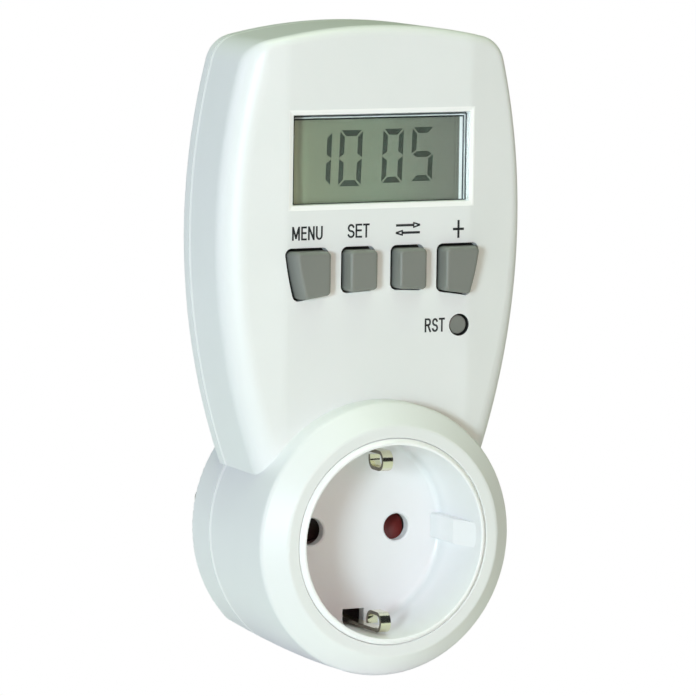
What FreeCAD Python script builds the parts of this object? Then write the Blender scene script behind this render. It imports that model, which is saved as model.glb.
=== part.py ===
import FreeCAD, Part
import math
import os

from FreeCAD import Vector

os.makedirs("parts", exist_ok=True)

# Plug-in timer with an earthed socket in front, a round plug behind, a clock display and five keys.
# Frame: +Z up, the front faces -Y, the pins point along +Y. The origin is the centre of the plug's
# engagement face, on the common axis of plug and socket. Millimetres.

# Plug
pin_spacing = 19.0
pin_radius = 2.4
pin_length = 19.0
pin_tip_round = 2.2
pin_neck_radius = 2.2
pin_neck_end = 0.3
plug_height = 16.1
plug_radius = 18.6
plug_wall = 3.0
plug_face_wall = 3.2
plug_edge_chamfer = 1.0
guide_groove_width = 5.8
guide_groove_depth = 1.8
earth_groove_width = 6.0
earth_groove_depth = 1.7
pin_collar_radius = 3.6
pin_collar_height = 1.2
pin_shank_radius = 1.5
pin_head_radius = 2.3
pin_head_height = 0.8

# Casing
wall = 2.2
half_width = 33.0
side_radius = 136.0
widest_z = 60.3
foot_z = 9.0
top_z = 102.1
top_radius = 108.0
corner_radius = 6.5
boss_radius = 27.5
boss_draft = 0.9
boss_depth = 35.5
boss_chamfer_depth = 3.7
boss_chamfer_width = 4.35
boss_round = 1.5
ring_round = 1.0
ring_wall = 2.5
flange_pocket_depth = 5.2
panel_step = 8.35
parting_depth = 27.0
body_depth = 30.6
ramp_angle = 14.2
band_width = 12.7
inside_band_width = 10.1
crease_blend = 8.0
band_angle = 9.0
side_round = 5.5
top_round = 2.0
inner_round = 3.3
back_round = 1.5
seam_groove = 0.25
seam_chamfer = 0.2
lip_height = 2.2
lip_thickness = 1.2

# Socket
recess_radius = 19.4
recess_depth = 17.7
insert_radius = 20.65
insert_floor = 2.2
insert_flange_radius = 22.7
insert_flange_thickness = 2.0
rim_stand = 0.6
rim_slope = 0.7
rim_round = 0.2
recess_round = 1.2
pin_hole_radius = 2.75
pin_hole_chamfer = 0.3
guide_rib_width = 5.0
guide_rib_height = 2.2
guide_rib_front_height = 2.0
guide_rib_start = 1.2
guide_rib_lead = 7.0
guide_rib_round = 0.4
earth_slot_width = 4.8
earth_slot_inner = 16.1
shutter_gap = 4.1
shutter_wing_radius = 3.3
shutter_web_width = 4.6
shutter_hub_radius = 3.0
shutter_plate = 1.5
shutter_ramp_angle = 23.0
pivot_radius = 1.3
spring_wire = 0.3
spring_coil_radius = 2.2
spring_turns = 2
spring_pitch = 0.72
spring_leg = 3.3
spring_peg_radius = 0.45
spring_peg_height = 1.0
carrier_plate = 1.4
carrier_radius = 17.0
carrier_half_height = 13.6
tower_length = 10.9
tower_wall = 1.1
contact_height = 6.0
contact_thickness = 0.7
contact_root = 2.9
contact_pinch = 2.55
contact_flare = 3.2
contact_mouth = 3.2
contact_clamp = 4.5
contact_overhang = 0.5
strip_bend = 1.0
bar_offset = 1.0
tab_length = 4.5
tab_foot_z = -3.0
tab_top_z = 3.6
carrier_screw_x = 12.0
carrier_screw_z = -10.5
carrier_post_radius = 2.2

# Earthing parts
clip_width = 2.2
clip_thickness = 0.7
clip_leg = 17.95
clip_loop_height = 3.4
clip_loop_length = 5.9
clip_drop = 0.6
nose_depth = 2.9
clip_back = 26.5
clip_pad_radius = 2.6
clip_bend = 1.68
clip_curl = 2.5
strap_width = 5.0
strap_thickness = 0.8
strap_bend = 0.6
strap_tip = 1.8
strap_setback = 2.5
post_radius = 1.8
rivet_radius = 1.0
rivet_head = 0.5

# Display
window_x = 0.55
window_z = 75.65
window_margin = 0.75
window_half_height = 8.95
window_bevel = 0.95
window_bevel_depth = 0.3
lens_flange = 1.0
lens_flange_thickness = 1.0
glass_overlap = 0.15
glass_half_height = 11.2
glass_back_half_height = 8.9
glass_sheet = 1.1
zebra_depth = 3.7
zebra_width = 1.8
holder_wall = 0.95
holder_floor = 2.4

# Keys
key_row_x = 0.88
key_top_z = 57.75
key_bottom_z = 49.75
key_bottom_radius = 105.0
inner_key_near = 2.1
inner_key_share = 0.4316
key_spacing = 3.58
outer_key_margin = 0.95
outer_key_slant = 2.15
outer_key_bow = 0.25
key_stand = 3.0
key_side_draft = 0.35
key_outer_draft = 1.1
key_end_draft = 0.05
key_corner = 0.95
key_edge = 0.75
key_flange = 0.9
key_flange_thickness = 1.0
reset_margin = 2.15
reset_z = 41.8
reset_radius = 1.9
reset_recess = 0.5
dome_foot_radius = 2.6
dome_top_radius = 1.8
dome_wall = 0.6
mat_thickness = 1.0
mat_margin = 2.0

# Boards
logic_margin = 5.7
logic_bottom_z = 38.0
logic_top_z = 90.3
logic_thickness = 1.2
board_corner = 1.2
logic_post_margin = 3.3
logic_post_low_z = 41.0
logic_post_high_z = 87.5
logic_post_radius = 2.0
power_half_width = 18.8
power_bottom_z = 24.2
power_top_z = 62.0
power_thickness = 1.6
power_standoff = 0.5
power_screw_x = 15.8
power_screw_z = 58.5

# Screws
cover_post_radius = 2.8
cover_screw_radius = 1.4
cover_screw_length = 11.5
cover_head_radius = 2.6
cover_head_height = 1.3
cover_counterbore = 1.5
top_screw_x = 19.5
top_screw_z = 93.6
low_screw_x = 22.8
low_screw_z = 27.5
small_screw_radius = 0.85
small_head_radius = 1.8
small_head_height = 1.0
cross_width = 0.5
cross_span_share = 0.65
cross_depth_share = 0.6
head_round_share = 0.3
small_screw_length = 3.5

# Relay
relay_x = -18.4
relay_z = 25.6
relay_length = 18.2
relay_width = 10.6
relay_height = 15.3
relay_wall = 0.7
relay_base_height = 1.3
relay_base_step = 1.5
relay_seat = 0.1
relay_corner = 0.5
yoke_thickness = 1.0
yoke_height = 12.0
pole_height = 0.6
pole_overhang = 0.9
coil_radius = 3.2
coil_margin = 1.2
core_radius = 1.5
bobbin_wall = 0.5
bobbin_flange = 0.6
bobbin_overhang = 0.2
yoke_margin = 0.7
armature_thickness = 0.8
armature_half_width = 3.1
armature_overhang = 0.4
hinge_inset = 0.1
armature_open_angle = 3.9
blade_thickness = 0.3
blade_half_width = 2.1
blade_offset = 2.2
blade_lap = 2.5
blade_tip = 1.6
button_height = 6.2
terminal_thickness = 0.6
terminal_half_width = 2.5
terminal_rise = 2.5
button_radius = 1.1
button_thickness = 0.5

# Components and wires
capacitor_length = 13.5
capacitor_width = 8.0
capacitor_height = 12.5
capacitor_gap = 3.0
electrolytic_radius = 3.15
electrolytic_length = 11.0
varistor_radius = 5.0
varistor_thickness = 4.0
battery_radius = 5.75
battery_thickness = 5.4
tab_thickness = 0.4
ribbon_width = 10.0
ribbon_thickness = 1.0
ribbon_bend = 1.6
live_wire_radius = 1.1
load_wire_radius = 0.9
load_offset = 2.3
neutral_wire_radius = 0.7

# Clearances
insert_gap = 0.1
pin_gap = 0.03
shank_gap = 0.05
screw_gap = 0.05
lip_gap = 0.15
shutter_run = 0.15
pivot_gap = 0.06
contact_gap = 0.3
strap_gap = 0.1
glass_gap = 0.05
lens_gap = 0.2
key_gap = 0.4
key_top_gap = 0.15
reset_gap = 0.33
flange_gap = 0.1
prop_gap = 0.05
relay_gap = 0.05
button_gap = 0.05

# Places across X, worked out from the half width
crease_x = half_width - band_width
inside_crease_x = half_width - inside_band_width
window_half_width = crease_x - window_margin
glass_half_width = window_half_width + glass_overlap
outer_key_far = crease_x + outer_key_margin
outer_key_foot = outer_key_far - outer_key_slant
key_room = outer_key_far - inner_key_near - key_spacing
inner_key_far = inner_key_near + inner_key_share * key_room
outer_key_near = inner_key_far + key_spacing
reset_x = crease_x - reset_margin
logic_half_width = crease_x + logic_margin
logic_post_x = crease_x + logic_post_margin

# Stations along Y, worked out from the depths above
boss_back_y = -plug_height
strap_cross = plug_height - strap_setback
ring_y = boss_back_y - boss_depth
rim_y = ring_y - rim_stand
chamfer_y = ring_y + boss_chamfer_depth
panel_y = ring_y + panel_step
panel_inside_y = panel_y + wall
parting_y = ring_y + parting_depth
back_y = ring_y + body_depth
back_inside_y = back_y - wall
boss_inside_y = boss_back_y - wall
recess_floor_y = ring_y + recess_depth
insert_back_y = recess_floor_y + insert_floor
carrier_front_y = insert_back_y + shutter_gap
carrier_back_y = carrier_front_y + carrier_plate
tower_end_y = carrier_back_y + tower_length
plug_cavity_radius = plug_radius - plug_wall
lens_front_y = panel_y + window_bevel_depth
lens_back_y = panel_inside_y + lens_flange_thickness
glass_front_y = lens_back_y + lens_gap
glass_middle_y = glass_front_y + glass_sheet
glass_back_y = glass_middle_y + glass_sheet
logic_front_y = glass_middle_y + zebra_depth
logic_back_y = logic_front_y + logic_thickness
power_back_y = back_inside_y - power_standoff
power_front_y = power_back_y - power_thickness
flange_front_y = panel_inside_y + flange_gap
flange_back_y = flange_front_y + key_flange_thickness
dome_top_y = flange_back_y + flange_gap
mat_front_y = logic_front_y - mat_thickness
pin_x = pin_spacing / 2
reach = 60.0
overrun = 1.0
near = 0.001


def save(node, *solids):
    """Write one node; several solids are identical pieces of one kind."""
    shape = solids[0] if len(solids) == 1 else Part.makeCompound(list(solids))
    shape.exportStep("parts/" + node + ".step")


def block(x, y, z):
    """Box between pairs of limits."""
    corner = Vector(x[0], y[0], z[0])
    return Part.makeBox(x[1] - x[0], y[1] - y[0], z[1] - z[0], corner)


def rod(x, z, radius, y):
    """Cylinder along Y between two stations."""
    return Part.makeCylinder(radius, y[1] - y[0], Vector(x, y[0], z), Vector(0, 1, 0))


def taper(x, z, first, second, y):
    """Cone along Y, from the first radius to the second."""
    return Part.makeCone(first, second, y[1] - y[0], Vector(x, y[0], z), Vector(0, 1, 0))


def around(centre, spread):
    return (centre - spread, centre + spread)


def one(shape):
    """The single solid of a shape that may be wrapped in a compound."""
    return shape.Solids[0] if len(shape.Solids) == 1 else shape


def toward(centre, distance, target):
    """Point at a distance from a centre, in the direction of a target."""
    step = target.sub(centre)
    step.normalize()
    return centre + step * distance


def flipped(point):
    return Vector(-point.x, point.y, point.z)


def casing_face(inset, y):
    """Front view of the upper body: barrelled sides, arched top and round corners."""
    side = Vector(half_width - side_radius, y, widest_z)
    top = Vector(0, y, top_z - top_radius)
    side_reach = side_radius - corner_radius
    top_reach = top_radius - corner_radius
    line = top.sub(side)
    span = line.Length
    along = (side_reach ** 2 - top_reach ** 2 + span ** 2) / (2 * span)
    across = math.sqrt(side_reach ** 2 - along ** 2)
    line.normalize()
    corner = side + line * along + Vector(-line.z, 0, line.x) * across
    if corner.x < 0:
        corner = side + line * along - Vector(-line.z, 0, line.x) * across
    side_end = toward(side, side_radius - inset, corner)
    top_end = toward(top, top_radius - inset, corner)
    outward = toward(corner, 1.0, side_end) + toward(corner, 1.0, top_end) - corner
    corner_mid = toward(corner, corner_radius - inset, outward)
    foot_x = side.x + math.sqrt((side_radius - inset) ** 2 - (foot_z - widest_z) ** 2)
    foot = Vector(foot_x, y, foot_z)
    side_mid = toward(side, side_radius - inset, (foot + side_end) * 0.5)
    apex = Vector(0, y, top_z - inset)
    edges = [
        Part.Arc(foot, side_mid, side_end),
        Part.Arc(side_end, corner_mid, top_end),
        Part.Arc(top_end, apex, flipped(top_end)),
        Part.Arc(flipped(top_end), flipped(corner_mid), flipped(side_end)),
        Part.Arc(flipped(side_end), flipped(side_mid), flipped(foot)),
        Part.LineSegment(flipped(foot), foot),
    ]
    return Part.Face(Part.Wire([edge.toShape() for edge in edges]))


def casing_slab(inset, y):
    return casing_face(inset, y[0]).extrude(Vector(0, y[1] - y[0], 0))


def front_profile(inset, crease, back):
    """Plan view of the panel: flat middle, soft crease and slightly folded back bands."""
    face_y = panel_y + inset
    angle = math.radians(band_angle)
    half = crease_blend * math.tan(angle / 2)
    start_x = crease - half
    end = Vector(crease + half * math.cos(angle), face_y + half * math.sin(angle), 0)
    mid_x = start_x + crease_blend * math.sin(angle / 2)
    mid = Vector(mid_x, face_y + crease_blend * (1 - math.cos(angle / 2)), 0)
    start = Vector(start_x, face_y, 0)
    far = Vector(reach, face_y + (reach - crease) * math.tan(angle), 0)
    far_back = Vector(reach, back, 0)
    edges = [
        Part.LineSegment(flipped(start), start),
        Part.Arc(start, mid, end),
        Part.LineSegment(end, far),
        Part.LineSegment(far, far_back),
        Part.LineSegment(far_back, flipped(far_back)),
        Part.LineSegment(flipped(far_back), flipped(far)),
        Part.LineSegment(flipped(far), flipped(end)),
        Part.Arc(flipped(end), flipped(mid), flipped(start)),
    ]
    return Part.Face(Part.Wire([edge.toShape() for edge in edges]))


def front_body(inset, crease, back, side, top):
    """Upper body up to the back station, with large side rounds and a small top round."""
    slab = casing_slab(inset, (panel_y - wall, back))
    profile = front_profile(inset, crease, back).extrude(Vector(0, 0, 2 * top_z))
    body = one(slab.common(profile))
    limit = panel_y + inset + half_width * math.tan(math.radians(band_angle))
    chosen = []
    for index, edge in enumerate(body.Edges):
        middle = edge.valueAt((edge.FirstParameter + edge.LastParameter) / 2)
        first = edge.valueAt(edge.FirstParameter)
        last = edge.valueAt(edge.LastParameter)
        creased = abs(first.x - last.x) < near and abs(first.z - last.z) > corner_radius
        if middle.y > limit or creased or middle.z < foot_z + 0.5:
            continue
        radii = (top, top)
        if abs(first.z - last.z) > 2 * corner_radius:
            radii = (side, side)
        elif abs(middle.x) > crease_x + corner_radius - inset:
            radii = (top, side) if first.z > last.z else (side, top)
        chosen.append((index + 1, radii[0], radii[1]))
    document = FreeCAD.newDocument()
    base = document.addObject("Part::Feature", "base")
    base.Shape = body
    rounded = document.addObject("Part::Fillet", "rounded")
    rounded.Base = base
    rounded.Edges = chosen
    document.recompute()
    result = one(rounded.Shape.copy())
    FreeCAD.closeDocument(document.Name)
    return result


def boss_cone(inset, y):
    """Drafted round boss between two stations behind the chamfer."""
    slope = math.tan(math.radians(boss_draft))
    first = boss_radius + (y[0] - chamfer_y) * slope - inset
    second = boss_radius + (y[1] - chamfer_y) * slope - inset
    return taper(0, 0, first, second, y)


def below_ramp(inset):
    """Space under the flat sloping underside, raised by the inset."""
    slope = math.tan(math.radians(ramp_angle))
    raised = inset / math.cos(math.radians(ramp_angle))
    front = -boss_radius - (chamfer_y - ring_y + wall) * slope + raised
    back = -boss_radius + (reach - wall) * slope + raised
    corners = [
        Vector(-reach, ring_y - wall, front),
        Vector(-reach, chamfer_y + reach - wall, back),
        Vector(-reach, chamfer_y + reach - wall, -reach),
        Vector(-reach, ring_y - wall, -reach),
        Vector(-reach, ring_y - wall, front),
    ]
    return Part.Face(Part.makePolygon(corners)).extrude(Vector(2 * reach, 0, 0))


def casing_form(inset, y):
    """Whole outline of body, boss and ramp, inset evenly, between two stations."""
    form = casing_slab(inset, y).fuse(boss_cone(inset, y))
    return form.cut(below_ramp(inset))


def key_face(side, outer, grow, y, draft, headroom):
    """Front view of one key: straight top, arched foot, outer keys with a slanting bowed outer side.

    The draft is the share of the full draft that the outline has at this station."""
    outer_draft = key_outer_draft if outer else key_side_draft
    inner_x = (outer_key_near if outer else inner_key_near) - grow + draft * key_side_draft
    far_x = (outer_key_far if outer else inner_key_far) + grow - draft * outer_draft
    foot_x = (outer_key_foot if outer else inner_key_far) + grow - draft * outer_draft
    top_z = key_top_z + grow + headroom - draft * key_end_draft

    def point(x, z):
        return Vector(key_row_x + side * x, y, z)

    def foot_height(x):
        return key_bottom_z - grow + draft * key_end_draft - x ** 2 / (2 * key_bottom_radius)

    middle = (inner_x + foot_x) / 2
    far_top = point(far_x, top_z)
    far_foot = point(foot_x, foot_height(foot_x))
    outer_side = Part.LineSegment(far_top, far_foot)
    if outer:
        bowed = (far_top + far_foot) * 0.5 + Vector(side * outer_key_bow, 0, 0)
        outer_side = Part.Arc(far_top, bowed, far_foot)
    edges = [
        Part.LineSegment(point(inner_x, top_z), far_top),
        outer_side,
        Part.Arc(far_foot, point(middle, foot_height(middle)), point(inner_x, foot_height(inner_x))),
        Part.LineSegment(point(inner_x, foot_height(inner_x)), point(inner_x, top_z)),
    ]
    return Part.Face(Part.Wire([edge.toShape() for edge in edges]))


def upright_edges(solid):
    """Edges of a solid that run along Y."""
    found = []
    for edge in solid.Edges:
        first = edge.Vertexes[0].Point
        last = edge.Vertexes[-1].Point
        if abs(first.x - last.x) < near and abs(first.z - last.z) < near and edge.Length > 0.1:
            found.append(edge)
    return found


def edges_at(solid, y):
    """Edges of a solid that lie in the plane of one station."""
    return [edge for edge in solid.Edges if edge.BoundBox.YLength < near
            and abs(edge.BoundBox.YMin - y) < near]


def key_block(side, outer, grow, corner, y, draft=0.0, headroom=0.0):
    face = key_face(side, outer, grow, y[0], draft, headroom)
    solid = face.extrude(Vector(0, y[1] - y[0], 0))
    return solid.makeFillet(corner, upright_edges(solid))


def key_outline(side, outer, y, draft):
    """Rounded outline of one key at a station."""
    slab = key_block(side, outer, 0, key_corner, (y, y + overrun), draft)
    ends = [face for face in slab.Faces if face.BoundBox.YLength < near and face.BoundBox.YMin < y + near]
    return ends[0].OuterWire


def bent_strip(route, bend, thickness):
    """Flat face of a strip bent in one plane along a route, given as (a, b) pairs."""
    half = thickness / 2
    points = [Vector(a, b, 0) for a, b in route]
    sides = {1: [], -1: []}
    for index, point in enumerate(points):
        before = point.sub(points[index - 1]) if index > 0 else points[1].sub(point)
        after = points[index + 1].sub(point) if index + 1 < len(points) else before
        before = Vector(before).normalize()
        after = Vector(after).normalize()
        turn = before.getAngle(after)
        for side in (1, -1):
            normal_in = Vector(-before.y, before.x, 0) * side
            normal_out = Vector(-after.y, after.x, 0) * side
            if turn < near:
                sides[side].append((point + normal_in * half,))
                continue
            cut = bend * math.tan(turn / 2)
            first = point - before * cut
            last = point + after * cut
            left = before.x * after.y - before.y * after.x > 0
            inward = Vector(-before.y, before.x, 0) * (1 if left else -1)
            centre = first + inward * bend
            radius = bend - half if (side == 1) == left else bend + half
            middle = toward(centre, radius, point)
            sides[side].append((first + normal_in * half, middle, last + normal_out * half))
    edges = []

    def chain(stops):
        for number, stop in enumerate(stops):
            if len(stop) == 3:
                edges.append(Part.Arc(stop[0], stop[1], stop[2]).toShape())
            if number + 1 < len(stops):
                here = stop[-1]
                there = stops[number + 1][0]
                if here.sub(there).Length > near:
                    edges.append(Part.LineSegment(here, there).toShape())

    forward = sides[1]
    backward = [tuple(reversed(stop)) for stop in reversed(sides[-1])]
    chain(forward)
    edges.append(Part.LineSegment(forward[-1][-1], backward[0][0]).toShape())
    chain(backward)
    edges.append(Part.LineSegment(backward[-1][-1], forward[0][0]).toShape())
    return Part.Face(Part.Wire(edges))


def strip_in_plan(route, bend, thickness, z):
    """Strip bent in the XY plane, with its width along Z."""
    face = bent_strip(route, bend, thickness)
    face.translate(Vector(0, 0, z[0]))
    return face.extrude(Vector(0, 0, z[1] - z[0]))


def strip_from_side(route, bend, thickness, x):
    """Strip bent in the YZ plane, with its width along X."""
    face = bent_strip(route, bend, thickness)
    turned = FreeCAD.Matrix(0, 0, 1, x[0], 1, 0, 0, 0, 0, 1, 0, 0, 0, 0, 0, 1)
    face = face.transformGeometry(turned)
    return face.extrude(Vector(x[1] - x[0], 0, 0))


def wire_tube(route, radius):
    """Round wire along straight runs joined by tangent arcs, each as large as its runs allow."""
    share = 0.45
    points = [Vector(*place) for place in route]
    edges = []
    here = points[0]
    length = 0.0
    bends = []
    for index in range(1, len(points) - 1):
        point = points[index]
        before = point.sub(points[index - 1])
        after = points[index + 1].sub(point)
        turn = before.getAngle(after)
        arc = share * min(before.Length, after.Length) / math.tan(turn / 2)
        bends.append(arc)
        before.normalize()
        after.normalize()
        cut = arc * math.tan(turn / 2)
        first = point - before * cut
        last = point + after * cut
        inward = (after - before).normalize()
        centre = point + inward * (arc / math.cos(turn / 2))
        middle = toward(centre, arc, point)
        edges.append(Part.LineSegment(here, first).toShape())
        edges.append(Part.Arc(first, middle, last).toShape())
        length += here.sub(first).Length + arc * turn
        here = last
    edges.append(Part.LineSegment(here, points[-1]).toShape())
    length += here.sub(points[-1]).Length
    path = Part.Wire(edges)
    circle = Part.Wire([Part.makeCircle(radius, points[0], points[1].sub(points[0]))])
    tube = path.makePipeShell([circle], True, False)
    section = math.pi * radius ** 2
    print("wire radii", [round(bend, 2) for bend in bends], "length", round(length, 1),
          "volume ratio", round(tube.Volume / (section * length), 4))
    return one(tube)


def crossed_head(x, z, radius, height, y, direction):
    """Screw head with a cross recess; direction is where the head points along Y."""
    low = min(y, y + direction * height)
    head = rod(x, z, radius, (low, low + height))
    face = y + direction * height
    rim = edges_at(head, face)
    head = head.makeFillet(head_round_share * height, rim)
    depth = cross_depth_share * height
    cut_low = min(face, face - direction * depth)
    span = cross_span_share * radius
    slot = (cut_low, cut_low + depth)
    across = block(around(x, span), slot, around(z, cross_width / 2))
    upright = block(around(x, cross_width / 2), slot, around(z, span))
    return head.cut(across.fuse(upright))


# Front housing: shell, boss, window, key holes and posts
def front_housing():
    outer = front_body(0, crease_x, parting_y, side_round, top_round)
    boss = boss_cone(0, (chamfer_y, parting_y))
    nose = taper(0, 0, boss_radius - boss_chamfer_width, boss_radius, (ring_y, chamfer_y))
    boss = boss.fuse(nose).removeSplitter()
    boss = boss.makeFillet(boss_round, edges_at(boss, chamfer_y))
    boss = boss.makeFillet(ring_round, edges_at(boss, ring_y))
    outer = outer.fuse(boss).cut(below_ramp(0))
    inner = front_body(wall, inside_crease_x, parting_y + overrun, inner_round, inner_round)
    pocket_y = ring_y + flange_pocket_depth
    inner = inner.fuse(boss_cone(wall, (pocket_y, parting_y + overrun)))
    seat_y = ring_y + ring_wall
    inner = inner.fuse(rod(0, 0, insert_flange_radius + lip_gap, (seat_y, pocket_y)))
    inner = inner.cut(below_ramp(wall))
    shell = outer.cut(inner)
    mouth = insert_radius + insert_gap
    shell = shell.cut(rod(0, 0, mouth, (ring_y - overrun, seat_y + overrun)))
    shell = shell.cut(taper(0, 0, mouth + seam_chamfer, mouth, (ring_y, ring_y + seam_chamfer)))
    posts = []
    holes = []
    for side in (1, -1):
        for x, z in ((top_screw_x, top_screw_z), (low_screw_x, low_screw_z)):
            posts.append(rod(side * x, z, cover_post_radius, (panel_inside_y - overrun, parting_y)))
            depth = (parting_y - cover_screw_length, parting_y + overrun)
            holes.append(rod(side * x, z, cover_screw_radius + screw_gap, depth))
        for z in (logic_post_low_z, logic_post_high_z):
            span = (panel_inside_y - overrun, logic_front_y)
            posts.append(rod(side * logic_post_x, z, logic_post_radius, span))
            depth = (logic_front_y - small_screw_length - wall / 4, logic_front_y + overrun)
            holes.append(rod(side * logic_post_x, z, small_screw_radius + screw_gap, depth))
    for post in posts:
        shell = shell.fuse(post)
    trimmed = shell.cut(outside_of(outer))
    for hole in holes:
        trimmed = trimmed.cut(hole)
    trimmed = trimmed.cut(window_cut())
    for side in (1, -1):
        for outer_key in (True, False):
            cut = (panel_y - overrun, panel_inside_y + overrun)
            trimmed = trimmed.cut(key_block(side, outer_key, key_gap, key_corner + key_gap, cut,
                                            headroom=key_top_gap))
    reset = rod(reset_x, reset_z, reset_radius + reset_gap, (panel_y - overrun, panel_inside_y + overrun))
    return one(trimmed.cut(reset).removeSplitter())


def outside_of(form):
    """Large block with the given form taken out, used to trim posts that meet the rounded corners."""
    big = block((-reach, reach), (ring_y - wall, parting_y), (-reach, 2 * top_z))
    return big.cut(form)


def window_cut():
    """Display opening with its bevel."""
    x = around(window_x, window_half_width)
    z = around(window_z, window_half_height)
    hole = block(x, (panel_y - overrun, panel_inside_y + overrun), z)
    extra = window_bevel * (1 + overrun / window_bevel_depth)

    def frame(grow, y):
        corners = [
            Vector(x[0] - grow, y, z[0] - grow),
            Vector(x[1] + grow, y, z[0] - grow),
            Vector(x[1] + grow, y, z[1] + grow),
            Vector(x[0] - grow, y, z[1] + grow),
            Vector(x[0] - grow, y, z[0] - grow),
        ]
        return Part.makePolygon(corners)

    bevel = Part.makeLoft([frame(extra, panel_y - overrun), frame(0, lens_front_y)], True, True)
    return hole.fuse(bevel)


save("front_housing", front_housing())


# Rear cover: tray with the plug body, collars for the screws, props for the socket insert
def rear_cover():
    groove_y = parting_y + seam_groove
    slab = casing_slab(0, (groove_y, back_y))
    slab = slab.makeFillet(back_round, [edge for edge in edges_at(slab, back_y)
                                        if edge.BoundBox.ZMax > foot_z + 0.5])
    boss = boss_cone(0, (groove_y, boss_back_y))
    boss = boss.makeFillet(back_round / 2, edges_at(boss, boss_back_y))
    outer = slab.fuse(boss).fuse(casing_slab(seam_groove, (parting_y, groove_y + overrun)))
    outer = outer.fuse(boss_cone(seam_groove, (parting_y, groove_y + overrun))).cut(below_ramp(0))
    plug = rod(0, 0, plug_radius, (boss_inside_y, 0))
    plug = plug.makeChamfer(plug_edge_chamfer, edges_at(plug, 0))
    hollow = casing_slab(wall, (parting_y - overrun, back_inside_y))
    hollow = hollow.fuse(boss_cone(wall, (parting_y - overrun, boss_inside_y))).cut(below_ramp(wall))
    cavity = rod(0, 0, plug_cavity_radius, (boss_inside_y - overrun, -plug_face_wall))
    shell = outer.fuse(plug).cut(hollow).cut(cavity)
    root = casing_form(wall - lip_gap, (parting_y, back_inside_y))
    root = root.cut(casing_form(wall + lip_gap + lip_thickness, (parting_y, back_inside_y)))
    tongue_y = parting_y - lip_height
    tongue = casing_form(wall + lip_gap, (tongue_y, parting_y))
    tongue = tongue.cut(casing_form(wall + lip_gap + lip_thickness, (tongue_y, parting_y)))
    lip = root.fuse(tongue)
    lip = lip.cut(block((-boss_radius, boss_radius), (tongue_y - overrun, back_y), (-boss_radius, -pin_x)))
    for side in (1, -1):
        for x, z in ((top_screw_x, top_screw_z), (low_screw_x, low_screw_z)):
            lip = lip.cut(rod(side * x, z, cover_post_radius + lip_gap, (tongue_y, parting_y)))
    shell = shell.fuse(lip)
    for side in (1, -1):
        groove_x = plug_radius - guide_groove_depth
        groove = block((groove_x, plug_radius + overrun), (boss_back_y, overrun),
                       around(0, guide_groove_width / 2))
        earth_z = plug_radius - earth_groove_depth
        earth = block(around(0, earth_groove_width / 2), (-strap_cross - 2 * strap_thickness, overrun),
                      (earth_z, plug_radius + overrun))
        slot = block(around(0, strap_width / 2 + strap_gap),
                     around(-strap_cross, strap_thickness / 2 + 2 * strap_gap),
                     (plug_cavity_radius - overrun, earth_z + overrun))
        tools = [groove, earth, slot]
        if side < 0:
            for tool in tools:
                tool.rotate(Vector(0, 0, 0), Vector(0, 1, 0), 180)
        for tool in tools:
            shell = shell.cut(tool)
        shell = shell.cut(rod(side * pin_x, 0, pin_radius + pin_gap, (-plug_face_wall - overrun, overrun)))
        for x, z in ((top_screw_x, top_screw_z), (low_screw_x, low_screw_z)):
            collar_y = parting_y + screw_gap
            shell = shell.fuse(rod(side * x, z, cover_head_radius + tower_wall,
                                   (collar_y, back_inside_y + wall / 2)))
            shell = shell.cut(rod(side * x, z, cover_screw_radius + contact_gap, (tongue_y, back_y)))
            bore = (back_y - cover_counterbore, back_y + overrun)
            shell = shell.cut(rod(side * x, z, cover_head_radius + contact_gap, bore))
        pad_y = (power_back_y, back_inside_y + wall / 2)
        shell = shell.fuse(rod(side * power_screw_x, power_screw_z, small_head_radius + relay_wall, pad_y))
        shell = shell.fuse(rod(side * power_screw_x, power_bottom_z + 2 * small_head_radius,
                               small_head_radius, pad_y))
        shell = shell.cut(rod(side * power_screw_x, power_screw_z, small_screw_radius + screw_gap,
                              (power_back_y - overrun, back_y - wall / 3)))
        for z in (prop_z, -prop_z):
            shell = shell.fuse(rod(side * prop_x, z, prop_radius,
                                   (insert_back_y + prop_gap, boss_inside_y + wall / 2)))
    return one(shell.removeSplitter())


prop_radius = 1.5
prop_angle = 20.0
prop_circle = insert_radius - prop_radius - lip_gap
prop_x = prop_circle * math.cos(math.radians(prop_angle))
prop_z = prop_circle * math.sin(math.radians(prop_angle))
save("rear_cover", rear_cover())


# Plug pins, turned brass with collar, shank and peened head
bar_y = -plug_face_wall - pin_collar_height
bar_back_y = bar_y - strap_thickness


def plug_pin(side):
    stem = rod(side * pin_x, 0, pin_radius, (pin_neck_end, pin_length))
    stem = stem.makeFillet(pin_tip_round, edges_at(stem, pin_length))
    neck = rod(side * pin_x, 0, pin_neck_radius, (-plug_face_wall, pin_neck_end))
    collar = rod(side * pin_x, 0, pin_collar_radius, (bar_y, -plug_face_wall))
    shank = rod(side * pin_x, 0, pin_shank_radius, (bar_back_y, bar_y))
    head = taper(side * pin_x, 0, pin_shank_radius, pin_head_radius,
                 (bar_back_y - pin_head_height, bar_back_y))
    return one(stem.fuse(neck).fuse(collar).fuse(shank).fuse(head).removeSplitter())


save("live_pin", plug_pin(-1))
save("neutral_pin", plug_pin(1))


# Socket insert: cup with pin holes, slots, guide ribs, pivot post, spring peg and two screw posts
peg_x = spring_coil_radius + spring_wire / 2 + shank_gap + spring_peg_radius
peg_z = 2.7
shutter_peg_z = 1.75


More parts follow.
